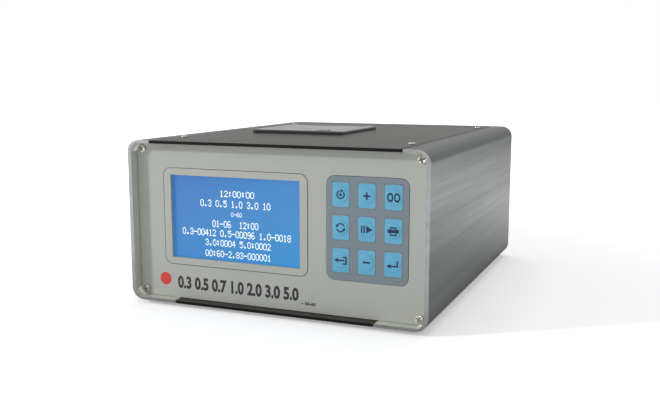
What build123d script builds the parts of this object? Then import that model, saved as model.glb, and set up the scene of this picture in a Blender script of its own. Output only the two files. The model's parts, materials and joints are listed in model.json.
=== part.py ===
"""Benchtop airborne particle counter: extruded aluminium case, display, membrane keys, strip printer.

Everything is modelled in the case's own coordinates, in millimetres: X from the left side,
Y backwards from the front rim, Z up from the underside of the case. write() moves each piece
to the part's frame, whose origin is the middle of the footprint, on the surface under the feet.
"""
import math
import os

from build123d import *

# ---------------------------------------------------------------- case
case_width = 250.0
case_height = 130.0
case_depth = 300.0
corner_radius = 10.0
inner_corner_radius = 7.0
side_wall = 3.2
cover_thickness = 2.5          # covers, and the flanges they lie flush with
top_flange = 20.6              # reach of the top flanges in from each side
bottom_flange = 41.1
shelf_reach = 12.0             # ledge beyond a flange, which carries a cover
shelf_thickness = 2.5
guide_rib = 2.4                # card guide ribs inside the side walls
guide_rib_thickness = 1.2
guide_shares = (0.3, 0.7)      # the guides' heights, as shares of the case's
recess = 8.3                   # rim stands this far proud of the end panels
panel_thickness = 2.5
panel_gap = 0.3                # end panel to rim, all round
cover_gap = 0.25               # cover to flange
overcut = 1.0                  # a cut runs this far past what it cuts

# ---------------------------------------------------------------- fasteners
screw_radius = 1.5
screw_length = 9.0
pan_head_radius = 3.15
pan_head_height = 2.1
cover_head_radius = 2.9
cover_head_height = 1.4
cover_screw_length = 6.0
head_taper = 30.0
screw_sides = 8                # screws and their holes are drawn in few faces
panel_screw_inset_x = 8.7      # from the case side to the screw
panel_screw_inset_z = 7.6      # from the case top or bottom to the screw
port_radius = 3.9              # screw port in the extrusion
port_web = 6.5                 # web from the port towards the case's top or bottom
cover_screw_inset = 6.1        # from the cover's edge to the screw
cover_screw_end = 41.4         # from the rim to the screw

# ---------------------------------------------------------------- feet
foot_height = 3.0
foot_radius = 7.0
foot_taper = 15.0
foot_inset_x = 30.0
foot_inset_y = 36.0

# ---------------------------------------------------------------- front panel fields
field_height = 78.2            # display surround and keypad alike
field_radius = 6.5
below_fields = 0.583           # share of the free height that lies under the two fields
left_of_fields = 0.461         # shares of the free width: left of the surround, and between
between_fields = 0.2495        # the surround and the keypad
window_width = 112.9
window_height = 66.8
surround_margin = 6.6
film_thickness = 0.25
keypad_width = 63.8
keypad_proud = 0.35
keypad_pocket = 1.6
key_width = 13.4
key_height = 18.8
key_corner = 0.9
key_pitch_x = 20.3
key_pitch_z = 24.45
key_field_rise = 0.7           # key grid above the keypad's middle
key_gap = 0.3
key_proud = 0.4
key_travel = 0.4
key_flange = 0.7
key_flange_thickness = 0.3
dome_radius = 4.5
dome_height = 0.4
dome_gap = 0.02
circuit_thickness = 0.3

# ---------------------------------------------------------------- display
lcd_overlap = 3.0              # glass beyond the window, each side
lcd_glass_thickness = 2.8
lcd_frame_lip = 0.6
lcd_frame_wall = 1.2
lcd_frame_gap = 0.4            # frame's lip, outside the window
lcd_board_width = 144.0
lcd_board_inset = 13.0         # half of what the board leaves of the case's height
lcd_chip = 16.0
lcd_chip_height = 2.0
board_thickness = 1.6
spacer_length = 6.0
spacer_radius = 3.0
spacer_inset = 4.5             # spacer to board edge

# ---------------------------------------------------------------- printer
printer_x = 95.3               # middle of the printer
printer_front = 113.9
printer_width = 87.0
printer_length = 90.1
bezel_height = 3.0
bezel_radius = 3.0
bezel_edge = 0.8
hinge_inset = 12.0             # hinge axis to the bezel's rear edge
hinge_drop = 5.5               # hinge axis below the door's top
hinge_pin_radius = 1.25
running_gap = 0.05
door_gap = 0.3
door_rear_gap = 0.6
door_length = 55.0             # hinge axis to the door's front edge
door_stop_chamfer = 1.5
door_rib = 1.2
door_rib_depth = 2.0
door_rib_pitch = 18.0
door_rib_gap = 3.0             # ribs, behind the platen roller
barrel_wall = 1.5              # door's knuckle round its hinge pin
notch_radius = 8.0             # finger notch in the door
notch_inset = 5.0
paper_slot = 1.0
opening_half_width = 34.5
bucket_wall = 2.0
bucket_front_inset = 6.1       # bezel's front edge to the bucket's inside face
shelf_drop = 29.0              # floor under the print head, below the case's top
cradle_radius = 21.5
cradle_y = 168.0
cradle_drop = 24.0             # paper roll's cradle axis, below the case's top
roll_radius = 20.0
roll_core_radius = 6.2
paper_width = 57.0
cut_gap = 0.5                  # cover cut-out to bucket
platen_radius = 5.0
platen_half = 28.8
platen_shaft_radius = 1.5
platen_back = 48.0             # hinge axis to platen axis, forwards
platen_drop = 5.0              # hinge axis to platen axis, downwards
cheek_inner = 29.6
cheek_thickness = 1.8
cheek_front = 1.0              # cheeks, behind the door's front edge
cheek_rear = 4.0               # and round the platen's axis
cheek_below = 3.5
gear_module = 0.5
gear_inner = 31.9              # gear faces, from the printer's middle
gear_outer = 34.1
platen_teeth = 20
idler_teeth = 30
pinion_teeth = 12
tip_height = 0.92              # tooth above and below its pitch circle, in modules
root_depth = 1.25
flank_angle = 20.0
gear_backlash = 0.05
idler_pin_radius = 1.5
motor_radius = 7.5
motor_length = 18.0
motor_shaft_radius = 1.0
motor_shaft_reach = 6.0        # shaft, inside the motor
motor_shaft_gap = 0.1
motor_plate = 1.0              # mounting plate on the motor's face
motor_plate_half = 12.0
motor_plate_height = 6.0
pinion_clearance = 1.0         # pinion to its hole in the housing
shaft_end = 1.0                # platen shaft beyond its left cheek
head_tilt = 25.0               # print head normal below the horizontal, degrees
head_gap = 0.15
head_thickness = 2.2
head_height = 13.0
head_half = 28.3
bracket_thickness = 1.5
bracket_inset = 1.0            # head bracket, in from the head's ends
bracket_leg = 2.0              # its leg, ahead of the head's back
bracket_rise = 3.0             # and above the head's middle
bracket_setback = 3.0          # its foot, behind the housing's front wall
tear_bar_width = 1.8
tear_bar_thickness = 0.8
tear_tooth_pitch = 2.0
tear_tooth_height = 0.6
button_x = 22.0                # feed button, right of the printer's middle
button_inset = 11.0            # feed button, behind the bezel's front edge
button_length = 12.0
button_width = 6.0
button_travel = 0.5
button_proud = 0.4
button_corner = 1.0
button_lip = 0.8               # ledge round the button, under the bezel
button_lip_share = 0.4         # its top, as a share of the bezel's height
button_root = 1.0              # button, below the case's top
switch_shelf_drop = 7.0        # shelf under the feed switch, below the case's top
switch_shelf_thickness = 1.5
switch_shelf_half = 5.0
switch_half = 3.0
plunger_radius = 1.7
plunger_height = 1.0

# ---------------------------------------------------------------- rear panel fittings
nozzle_inset = 80.0            # sample inlet, from the case's right side
nozzle_drop = 33.0             # and below its top
nozzle_radius = 4.0
nozzle_length = 12.0
nozzle_flange_radius = 8.0     # hexagon, across its corners
nozzle_flange = 2.0
nozzle_collar = 1.0            # collar in the panel, beyond the spigot's radius
nozzle_nut = 4.0
sample_bore = 1.6
socket_z = 34.0                # mains inlet, switch and serial port, in one row
inlet_share = 0.28             # their places, as shares of the case's width
switch_share = 0.432
serial_share = 0.6
inlet_body = (13.4, 9.9)       # half width and half height, as for the two below
switch_body = (6.4, 9.8)
serial_body = (9.6, 5.4)
body_depth = 16.0
flange_lip = 1.9
fitting_flange = 2.0
mouth_half_width = 12.0
mouth_half_height = 8.1
mouth_chamfer = 4.0
socket_depth = 15.0
pin_setback = 5.0              # pin tips, inside the mouth
pin_side = 7.0                 # outer pins, either side of the middle one
pin_rise = 2.5
pin_fall = 1.5
pin_width = 2.0
pin_height = 4.0
pin_root = 1.0                 # pins, inside the socket's floor
tab_length = 7.0               # solder tabs behind the socket
tab_width = 0.8
tab_height = 4.8
rocker_tilt = 9.0
rocker_half_width = 5.3
rocker_half_height = 8.0
rocker_gap = 0.3
rocker_pocket = 9.0
rocker_depth = 4.0             # rocker's front and back, from its pivot
rocker_waist = 2.7             # its front face at mid height
rocker_root_half = 4.5
pivot_setback = 1.0
pivot_radius = 1.0
pivot_half = 6.0
serial_flange = (15.4, 6.2)
serial_shell = (8.4, 4.2)
serial_shell_length = 5.0
serial_depth = 10.0
serial_plate = 1.0
jack_side = 12.5
jack_radius = 2.8
jack_length = 4.5
vent_count = 8
vent_pitch = 8.0
vent_width = 3.0
vent_height = 28.0
vent_drop = 12.0               # middle of the vents, below the sample inlet's axis
vent_start = 10.0              # first vent, left of the mains inlet's middle

# ---------------------------------------------------------------- inside
tube_outer = 3.5
exhaust_bend = 10.0
sample_outer = 4.0
sample_bend = 22.0
block_inset = 55.0             # optical block, from the case's right side
block_size = 50.0
block_height = 45.0
beam_height = 24.5
laser_radius = 7.0
laser_length = 30.0
detector_size = 20.0
detector_depth = 8.0
pump_behind = 75.2             # pump's front, ahead of the rear panel
pump_width = 30.0
pump_height = 32.0
pump_length = 28.0
pump_motor_radius = 12.0
pump_motor_length = 28.0
pump_shift = 6.0               # pump's axis, left of the sample inlet
outlet_height = 18.0
hose_gap = 24.0                # optical block to pump
filter_radius = 12.0
filter_z = 66.0
filter_length = 30.0
filter_shift = 2.0             # exhaust filter, right of the sample inlet
exhaust_setback = 8.0          # exhaust hose, behind the pump's front
filter_setback = 24.0          # filter, behind the hose's upright run
board_side = 52.0              # main board, from either side of the case
board_front = 24.0
board_gap = 16.0               # main board to optical block
battery_gap = 10.0             # main board to batteries
cell_radius = 9.25
cell_length = 65.0
pack_gap = 1.4                 # left ledge to batteries
supply_gap = 5.0               # batteries to power supply
supply_left = 58.0
supply_width = 64.0
supply_length = 62.0
chip_height = 2.2
inductor_height = 4.0
socket_height = 8.0
filter_cap_height = 16.0
relay_height = 12.0
transformer_height = 20.0
heat_sink_height = 24.0

# ---------------------------------------------------------------- derived places
panel_front = recess
panel_back = recess + panel_thickness
rear_outer = case_depth - recess
rear_inner = rear_outer - panel_thickness
floor = cover_thickness
nozzle_tip = rear_outer + nozzle_flange + nozzle_length
total_depth = max(case_depth, nozzle_tip)

free_width = case_width - window_width - 2 * surround_margin - keypad_width
field_bottom = (case_height - field_height) * below_fields
window_left = free_width * left_of_fields + surround_margin
window_right = window_left + window_width
window_bottom = field_bottom + (field_height - window_height) / 2
window_top = window_bottom + window_height
keypad_left = window_right + surround_margin + free_width * between_fields
keypad_middle_x = keypad_left + keypad_width / 2
keypad_middle_z = field_bottom + field_height / 2 + key_field_rise

bezel_top = case_height + bezel_height
printer_rear = printer_front + printer_length
hinge_y = printer_rear - hinge_inset
hinge_z = bezel_top - hinge_drop
door_front = hinge_y - door_length
opening_front = door_front - paper_slot
opening_rear = hinge_y + hinge_drop + door_rear_gap
platen_y = hinge_y - platen_back
platen_z = hinge_z - platen_drop
bucket_half = opening_half_width + bucket_wall
bucket_front = printer_front + bucket_front_inset
bucket_shelf = case_height - shelf_drop
cradle_z = case_height - cradle_drop

nozzle_x = case_width - nozzle_inset
nozzle_z = case_height - nozzle_drop
inlet_x = case_width * inlet_share
switch_x = case_width * switch_share
serial_x = case_width * serial_share
pump_front = rear_inner - pump_behind
pump_top = floor + pump_height
block_right = case_width - block_inset
block_left = block_right - block_size
block_rear = pump_front - hose_gap
block_front = block_rear - block_size
block_middle_y = block_rear - block_size / 2
block_top = floor + block_height
beam_z = floor + beam_height
outlet_x = nozzle_x - pump_shift
outlet_z = floor + outlet_height
exhaust_x = nozzle_x + filter_shift
exhaust_y = pump_front + exhaust_setback
filter_front = exhaust_y + filter_setback
board_left = board_side
board_right = case_width - board_side
board_rear = block_front - board_gap
pack_left = bottom_flange + shelf_reach + pack_gap
pack_front = board_rear + battery_gap
supply_front = pack_front + cell_length + supply_gap
supply_right = supply_left + supply_width
supply_rear = supply_front + supply_length
lcd_board_height = case_height - 2 * lcd_board_inset


# ---------------------------------------------------------------- helpers
def rect(u0, u1, v0, v1, radius=0.0):
    """A rectangle between two corners, its own corners rounded."""
    width, height = u1 - u0, v1 - v0
    shape = RectangleRounded(width, height, radius) if radius else Rectangle(width, height)
    return Pos((u0 + u1) / 2, (v0 + v1) / 2) * shape


def disc(u, v, radius):
    return Pos(u, v) * Circle(radius)


def small_disc(u, v, radius):
    """A small round in few faces, for what repeats many times."""
    return Pos(u, v) * RegularPolygon(radius, 12)


def screw_hole(u, v):
    """A screw's shank or its hole, in few faces."""
    return Pos(u, v) * RegularPolygon(screw_radius, screw_sides)


def along_x(sketch, x0, x1):
    """A section drawn in (Y, Z), drawn out from x0 to x1."""
    plane = Plane(origin=(x0, 0, 0), x_dir=(0, 1, 0), z_dir=(1, 0, 0))
    return extrude(plane * sketch, amount=x1 - x0)


def along_y(sketch, y0, y1):
    """A section drawn in (X, Z), drawn out from y0 to y1."""
    plane = Plane(origin=(0, y1, 0), x_dir=(1, 0, 0), z_dir=(0, -1, 0))
    return extrude(plane * sketch, amount=y1 - y0)


def along_z(sketch, z0, z1):
    """A section drawn in (X, Y), drawn out from z0 to z1."""
    return extrude(Pos(0, 0, z0) * sketch, amount=z1 - z0)


def mirrored(piece):
    """The piece on the other side of the case."""
    return mirror(piece, about=Plane(origin=(case_width / 2, 0, 0), z_dir=(1, 0, 0)))


def write(name, *solids):
    """One STEP file for a node: a single solid, or a group of identical ones."""
    to_frame = Pos(-case_width / 2, -total_depth / 2, foot_height)
    moved = [to_frame * solid for piece in solids for solid in piece.solids()]
    export_step(moved[0] if len(moved) == 1 else Compound(children=moved), f"parts/{name}.step")


def screw(head_radius, head_height, length):
    """A screw standing on its underhead plane, with the shank along -Z."""
    head = extrude(RegularPolygon(head_radius, screw_sides), amount=head_height, taper=head_taper)
    return head + along_z(screw_hole(0, 0), -length, 0)


def four(x_inset, y_inset):
    """The four places symmetric on the case plan, inset from its sides and ends."""
    return [(x, y) for x in (x_inset, case_width - x_inset)
            for y in (y_inset, case_depth - y_inset)]


os.makedirs("parts", exist_ok=True)


# ---------------------------------------------------------------- side profiles
def flange_tip(x, z):
    """Round end of a flange."""
    return small_disc(x - cover_thickness / 2, z, cover_thickness / 2)


def screw_port(z):
    """Corner of the extrusion that takes an end panel screw: a bored boss filled to the corner."""
    boss = small_disc(panel_screw_inset_x, z, port_radius)
    side_web = rect(side_wall / 2, panel_screw_inset_x, z - port_radius, z + port_radius)
    edge = z - port_web if z < case_height / 2 else z + port_web
    end_web = rect(panel_screw_inset_x - port_radius, panel_screw_inset_x + port_radius,
                   min(z, edge), max(z, edge))
    return boss + side_web + end_web


outline = rect(0, case_width, 0, case_height, corner_radius)
hollow = rect(side_wall, case_width - side_wall, cover_thickness,
              case_height - cover_thickness, inner_corner_radius)
top_half = rect(0, top_flange - cover_thickness / 2, case_height / 2, case_height)
bottom_half = rect(0, bottom_flange - cover_thickness / 2, 0, case_height / 2)
rim_section = (outline - hollow) & (top_half + bottom_half)
rim_section += flange_tip(top_flange, case_height - cover_thickness / 2)
rim_section += flange_tip(bottom_flange, cover_thickness / 2)

shelves = rect(side_wall / 2, top_flange + shelf_reach,
               case_height - cover_thickness - shelf_thickness, case_height - cover_thickness)
shelves += rect(side_wall / 2, bottom_flange + shelf_reach,
                cover_thickness, cover_thickness + shelf_thickness)
ports = screw_port(panel_screw_inset_z) + screw_port(case_height - panel_screw_inset_z)
guides = Sketch()
for share in guide_shares:
    for side in (-1, 1):
        rib_z = case_height * share + side * guide_rib
        guides += rect(side_wall / 2, side_wall + guide_rib,
                       rib_z - guide_rib_thickness / 2, rib_z + guide_rib_thickness / 2)

left_profile = along_y(rim_section, 0, case_depth)
left_profile += along_y(shelves + ports + guides, panel_back, rear_inner)
for port_z in (panel_screw_inset_z, case_height - panel_screw_inset_z):
    left_profile -= along_y(screw_hole(panel_screw_inset_x, port_z),
                            panel_back, rear_inner)
for x, y in four(top_flange + cover_screw_inset, cover_screw_end)[:2]:
    left_profile -= along_z(screw_hole(x, y), case_height / 2, case_height)
for x, y in four(bottom_flange + cover_screw_inset, cover_screw_end)[:2]:
    left_profile -= along_z(screw_hole(x, y), 0, case_height / 2)
write("left_side_profile", left_profile)
write("right_side_profile", mirrored(left_profile))


# ---------------------------------------------------------------- covers and panels
def cover(flange, z0):
    """A flat cover between two flanges, with its four screw holes."""
    edge = flange + cover_gap
    plate = rect(edge, case_width - edge, 0, case_depth)
    for x, y in four(flange + cover_screw_inset, cover_screw_end):
        plate -= screw_hole(x, y)
    return along_z(plate, z0, z0 + cover_thickness)


top_cover = cover(top_flange, case_height - cover_thickness)
top_cover -= along_z(
    rect(printer_x - bucket_half - cut_gap, printer_x + bucket_half + cut_gap,
         bucket_front - bucket_wall - cut_gap, opening_rear + bucket_wall + cut_gap),
    case_height - cover_thickness, case_height)
write("top_cover", top_cover)
write("bottom_cover", cover(bottom_flange, 0))


def end_panel(y0):
    """A plate that closes one end inside the rim, drilled for its corner screws."""
    plate = rect(side_wall + panel_gap, case_width - side_wall - panel_gap,
                 cover_thickness + panel_gap, case_height - cover_thickness - panel_gap,
                 inner_corner_radius - panel_gap)
    for x, z in panel_screw_places:
        plate -= screw_hole(x, z)
    return along_y(plate, y0, y0 + panel_thickness)


panel_screw_places = [(x, z) for x in (panel_screw_inset_x, case_width - panel_screw_inset_x)
                      for z in (panel_screw_inset_z, case_height - panel_screw_inset_z)]

lcd_spacer_places = [
    ((window_left + window_right) / 2 + side * (lcd_board_width / 2 - spacer_inset),
     (window_bottom + window_top) / 2 + end * (lcd_board_height / 2 - spacer_inset))
    for side in (-1, 1) for end in (-1, 1)]

front_panel = end_panel(panel_front)
front_panel -= along_y(rect(window_left, window_right, window_bottom, window_top),
                       panel_front - overcut, panel_back + overcut)
front_panel -= along_y(rect(keypad_left, keypad_left + keypad_width, field_bottom,
                            field_bottom + field_height, field_radius),
                       panel_front - overcut, panel_front + keypad_pocket)
write("front_panel", front_panel)

panel_screw = screw(pan_head_radius, pan_head_height, screw_length)
cover_screw = screw(cover_head_radius, cover_head_height, cover_screw_length)
write("panel_screws",
      *[Pos(x, panel_front, z) * Rot(90, 0, 0) * panel_screw for x, z in panel_screw_places],
      *[Pos(x, rear_outer, z) * Rot(-90, 0, 0) * panel_screw for x, z in panel_screw_places])
write("cover_screws",
      *[Pos(x, y, case_height) * cover_screw
        for x, y in four(top_flange + cover_screw_inset, cover_screw_end)],
      *[Pos(x, y, 0) * Rot(180, 0, 0) * cover_screw
        for x, y in four(bottom_flange + cover_screw_inset, cover_screw_end)])

# ---------------------------------------------------------------- feet
foot = extrude(RegularPolygon(foot_radius, 16), amount=-foot_height, taper=foot_taper)
write("rubber_feet", *[Pos(x, y, 0) * foot for x, y in four(foot_inset_x, foot_inset_y)])

# ---------------------------------------------------------------- display
surround = rect(window_left - surround_margin, window_right + surround_margin,
                field_bottom, field_bottom + field_height, field_radius)
surround -= rect(window_left, window_right, window_bottom, window_top)
write("window_surround", along_y(surround, panel_front - film_thickness, panel_front))


def window_rect(margin):
    return rect(window_left - margin, window_right + margin,
                window_bottom - margin, window_top + margin)


lcd_board_front = panel_back + spacer_length
glass_front = panel_back + lcd_frame_lip
frame_outside = lcd_overlap + lcd_frame_wall
lcd_frame = along_y(window_rect(frame_outside), panel_back, lcd_board_front)
lcd_frame -= along_y(window_rect(lcd_frame_gap), panel_back, glass_front)
lcd_frame -= along_y(window_rect(lcd_overlap), glass_front, lcd_board_front)
write("lcd_frame", lcd_frame)
lcd_glass = along_y(window_rect(lcd_overlap), glass_front, glass_front + lcd_glass_thickness)
write("lcd_glass", lcd_glass)

lcd_middle_x = (window_left + window_right) / 2
lcd_middle_z = (window_bottom + window_top) / 2
lcd_board = along_y(rect(lcd_middle_x - lcd_board_width / 2, lcd_middle_x + lcd_board_width / 2,
                         lcd_middle_z - lcd_board_height / 2, lcd_middle_z + lcd_board_height / 2),
                    lcd_board_front, lcd_board_front + board_thickness)
backlight = along_y(window_rect(lcd_overlap), glass_front + lcd_glass_thickness, lcd_board_front)
for step in (-1, 0, 1):
    chip_x = lcd_middle_x + step * lcd_board_width / 4
    lcd_board += along_y(rect(chip_x - lcd_chip / 2, chip_x + lcd_chip / 2,
                              lcd_middle_z - lcd_chip / 2, lcd_middle_z + lcd_chip / 2),
                         lcd_board_front + board_thickness,
                         lcd_board_front + board_thickness + lcd_chip_height)
write("lcd_board", lcd_board)
write("lcd_backlight", backlight)

# ---------------------------------------------------------------- keypad
overlay_front = panel_front - keypad_proud
pocket_floor = panel_front + keypad_pocket
circuit_front = pocket_floor - circuit_thickness
dome_top = circuit_front - dome_height
key_flange_back = dome_top - dome_gap - key_travel
key_flange_front = key_flange_back - key_flange_thickness
key_front = overlay_front - key_proud

key_places = {}
for row, names in enumerate((("reset", "plus", "clear"), ("cycle", "sample", "print"),
                             ("exit", "minus", "enter"))):
    for column, name in enumerate(names):
        key_places["key_" + name] = (keypad_middle_x + (column - 1) * key_pitch_x,
                                     keypad_middle_z + (1 - row) * key_pitch_z)


def key_rect(place, margin, corner=0.0):
    """A key's outline, its corners cut in few faces."""
    x, z = place
    half_width, half_height = key_width / 2 + margin, key_height / 2 + margin
    outline = rect(x - half_width, x + half_width, z - half_height, z + half_height)
    return chamfer(outline.vertices(), corner) if corner else outline


keypad = rect(keypad_left + cover_gap, keypad_left + keypad_width - cover_gap,
              field_bottom + cover_gap, field_bottom + field_height - cover_gap,
              field_radius - cover_gap)
overlay = along_y(keypad, overlay_front, circuit_front)
for place in key_places.values():
    overlay -= along_y(key_rect(place, key_gap, key_corner), overlay_front, circuit_front)
    overlay -= along_y(key_rect(place, key_flange + key_gap), key_flange_front, circuit_front)
write("keypad_overlay", overlay)
half_field_x = key_pitch_x + key_width / 2 + key_flange
half_field_z = key_pitch_z + key_height / 2 + key_flange
write("keypad_circuit", along_y(rect(keypad_middle_x - half_field_x, keypad_middle_x + half_field_x,
                                     keypad_middle_z - half_field_z, keypad_middle_z + half_field_z),
                                circuit_front, pocket_floor))
dome_shape = RegularPolygon(dome_radius, 8)
write("snap_domes", *[along_y(Pos(x, z) * dome_shape, dome_top, circuit_front)
                      for x, z in key_places.values()])

for name, place in key_places.items():
    key = along_y(key_rect(place, 0, key_corner), key_front, key_flange_front)
    key += along_y(key_rect(place, key_flange), key_flange_front, key_flange_back)
    write(name, key)

# ---------------------------------------------------------------- printer housing
chamber = rect(bucket_front, cradle_y, bucket_shelf, bezel_top)
chamber += disc(cradle_y, cradle_z, cradle_radius)
chamber += rect(cradle_y, opening_rear, cradle_z, bezel_top)
shell = offset(chamber, amount=bucket_wall, kind=Kind.INTERSECTION)
bucket = along_x(shell, printer_x - bucket_half, printer_x + bucket_half)
bucket -= along_x(chamber, printer_x - opening_half_width, printer_x + opening_half_width)
bucket -= along_z(rect(0, case_width, 0, case_depth), case_height, 2 * case_height)

# The gears leave each other square to their teeth as the door carries the platen up.
gear_angle = math.degrees(math.atan2(-platen_back, platen_drop))
idler_distance = gear_module * (platen_teeth + idler_teeth) / 2
pinion_distance = gear_module * (idler_teeth + pinion_teeth) / 2
idler_y = platen_y + idler_distance * math.cos(math.radians(gear_angle))
idler_z = platen_z + idler_distance * math.sin(math.radians(gear_angle))
pinion_y = idler_y - pinion_distance
pinion_z = idler_z
gear_face = printer_x + gear_inner
gear_back = printer_x + gear_outer
bucket_side = printer_x + bucket_half

bucket += along_x(disc(idler_y, idler_z, idler_pin_radius), gear_face,
                  printer_x + opening_half_width + bucket_wall / 2)
bucket -= along_x(small_disc(pinion_y, pinion_z,
                             gear_module * pinion_teeth / 2 + pinion_clearance),
                  printer_x, bucket_side + overcut)
bucket -= along_x(disc(hinge_y, hinge_z, hinge_pin_radius), 0, case_width)
button_y = printer_front + button_inset
button_middle_x = printer_x + button_x
switch_shelf = case_height - switch_shelf_drop
bucket += along_z(rect(button_middle_x - switch_shelf_half,
                       printer_x + opening_half_width + bucket_wall / 2,
                       bucket_front - bucket_wall / 2, button_y + switch_shelf_half),
                  switch_shelf - switch_shelf_thickness, switch_shelf)
write("printer_bucket", bucket)

bezel = along_z(rect(printer_x - printer_width / 2, printer_x + printer_width / 2,
                     printer_front, printer_rear, bezel_radius), case_height, bezel_top)
bezel = chamfer(bezel.faces().sort_by(Axis.Z)[-1].edges(), bezel_edge)
bezel -= along_z(rect(printer_x - opening_half_width, printer_x + opening_half_width,
                      opening_front, opening_rear), case_height, bezel_top)
stop = Polygon((opening_rear - overcut, bezel_top - door_stop_chamfer - overcut),
               (opening_rear + door_stop_chamfer + overcut, bezel_top + overcut),
               (opening_rear - overcut, bezel_top + overcut), align=None)
bezel -= along_x(stop, printer_x - opening_half_width, printer_x + opening_half_width)
bezel -= along_z(rect(printer_x - platen_half, printer_x + platen_half,
                      opening_front - tear_bar_width, opening_front + overcut),
                 bezel_top - tear_bar_thickness, bezel_top)


def button_rect(margin, corner=0.0):
    outline = rect(button_middle_x - button_length / 2 - margin,
                   button_middle_x + button_length / 2 + margin,
                   button_y - button_width / 2 - margin, button_y + button_width / 2 + margin)
    return chamfer(outline.vertices(), corner) if corner else outline


button_lip_top = case_height + bezel_height * button_lip_share
bezel -= along_z(button_rect(door_gap, button_corner), case_height, bezel_top)
bezel -= along_z(button_rect(button_lip + door_gap), case_height, button_lip_top)
write("printer_bezel", bezel)

button_bottom = case_height - button_root
feed_button = along_z(button_rect(0, button_corner), button_bottom, bezel_top + button_proud)
feed_button += along_z(button_rect(button_lip), button_bottom, button_lip_top)
write("feed_button", feed_button)
switch_top = button_bottom - button_travel - dome_gap
feed_switch = along_z(rect(button_middle_x - switch_half, button_middle_x + switch_half,
                           button_y - switch_half, button_y + switch_half),
                      switch_shelf, switch_top - plunger_height)
feed_switch += along_z(small_disc(button_middle_x, button_y, plunger_radius),
                       switch_top - plunger_height, switch_top)
write("feed_switch", feed_switch)

tear_bar = rect(printer_x - platen_half, printer_x + platen_half,
                opening_front - tear_bar_width, opening_front)
tooth_count = int(2 * platen_half / tear_tooth_pitch)
for index in range(tooth_count):
    tooth_x = printer_x + (index + 0.5 - tooth_count / 2) * tear_tooth_pitch
    tear_bar += Polygon((tooth_x - tear_tooth_pitch / 2, opening_front),
                        (tooth_x + tear_tooth_pitch / 2, opening_front),
                        (tooth_x, opening_front + tear_tooth_height), align=None)
write("tear_bar", along_z(tear_bar, bezel_top - tear_bar_thickness, bezel_top))

# ---------------------------------------------------------------- printer door
door_half = opening_half_width - door_gap
door_plate = rect(door_front, hinge_y, case_height, bezel_top)
door_plate += disc(hinge_y, hinge_z, hinge_drop) & rect(hinge_y - hinge_drop, hinge_y + hinge_drop,
                                                        hinge_z, bezel_top)
door_plate += disc(hinge_y, hinge_z, hinge_pin_radius + barrel_wall)
door = along_x(door_plate, printer_x - door_half, printer_x + door_half)
cheek = rect(door_front + cheek_front, platen_y + cheek_rear,
             platen_z - cheek_below, case_height + overcut)
for side in (-1, 1):
    inner, outer = side * cheek_inner, side * (cheek_inner + cheek_thickness)
    door += along_x(cheek, printer_x + min(inner, outer), printer_x + max(inner, outer))
for step in (-1, 0, 1):
    rib_x = printer_x + step * door_rib_pitch
    door += along_x(rect(platen_y + platen_radius + door_rib_gap, hinge_y,
                         case_height - door_rib_depth, case_height + overcut),
                    rib_x - door_rib / 2, rib_x + door_rib / 2)
door -= along_x(disc(platen_y, platen_z, platen_shaft_radius + running_gap), 0, case_width)
door -= along_x(disc(hinge_y, hinge_z, hinge_pin_radius + running_gap), 0, case_width)
door -= along_z(disc(printer_x, door_front - notch_inset, notch_radius),
                case_height - overcut, bezel_top + overcut)
write("printer_door", door)
write("door_hinge_pin", along_x(disc(hinge_y, hinge_z, hinge_pin_radius),
                                printer_x - bucket_half, printer_x + bucket_half))

# ---------------------------------------------------------------- platen and gear train


def gear_section(teeth, phase):
    """A spur gear's section with one tooth at the angle phase, in degrees."""
    pitch = gear_module * teeth / 2
    root, tip = pitch - root_depth * gear_module, pitch + tip_height * gear_module
    half_width = gear_module * math.pi / 4 - gear_backlash
    slope = math.tan(math.radians(flank_angle))
    half_tip = half_width - tip_height * gear_module * slope
    half_root = half_width + root_depth * gear_module * slope
    corners = []
    for index in range(teeth):
        middle = math.radians(phase + index * 360 / teeth)
        for radius, half in ((root, -half_root), (tip, -half_tip), (tip, half_tip), (root, half_root)):
            angle = middle + half / radius
            corners.append((radius * math.cos(angle), radius * math.sin(angle)))
    return Polygon(*corners, align=None)


def mesh_phase(phase, teeth, direction, mate_teeth):
    """Phase of a mate that lies in this direction, so that its gap takes the nearest tooth."""
    step = 360 / teeth
    ahead = (direction - phase + step / 2) % step - step / 2      # line of centres past the tooth
    return direction + 180 + ahead * teeth / mate_teeth + 180 / mate_teeth


def gear(teeth, phase, y, z):
    return along_x(Pos(y, z) * gear_section(teeth, phase), gear_face, gear_back)


platen_phase = gear_angle
idler_phase = mesh_phase(platen_phase, platen_teeth, gear_angle, idler_teeth)
pinion_phase = mesh_phase(idler_phase, idler_teeth, 180, pinion_teeth)
write("platen_gear", gear(platen_teeth, platen_phase, platen_y, platen_z)
      - along_x(disc(platen_y, platen_z, platen_shaft_radius), gear_face, gear_back))
write("idler_gear", gear(idler_teeth, idler_phase, idler_y, idler_z)
      - along_x(disc(idler_y, idler_z, idler_pin_radius + running_gap), gear_face, gear_back))
pinion_shaft = along_x(disc(pinion_y, pinion_z, motor_shaft_radius), gear_back,
                       bucket_side + motor_shaft_reach)
write("motor_pinion", gear(pinion_teeth, pinion_phase, pinion_y, pinion_z) + pinion_shaft)
motor = along_x(small_disc(pinion_y, pinion_z, motor_radius),
                bucket_side, bucket_side + motor_length)
motor += along_x(rect(pinion_y - motor_plate_half, pinion_y + motor_plate_half,
                      pinion_z - motor_plate_height / 2, pinion_z + motor_plate_height / 2),
                 bucket_side, bucket_side + motor_plate)
motor -= along_x(small_disc(pinion_y, pinion_z, motor_shaft_radius + motor_shaft_gap),
                 bucket_side, bucket_side + motor_shaft_reach + motor_shaft_gap)
write("printer_motor", motor)
write("platen_shaft", along_x(disc(platen_y, platen_z, platen_shaft_radius),
                              printer_x - cheek_inner - cheek_thickness - shaft_end, gear_back))
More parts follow.
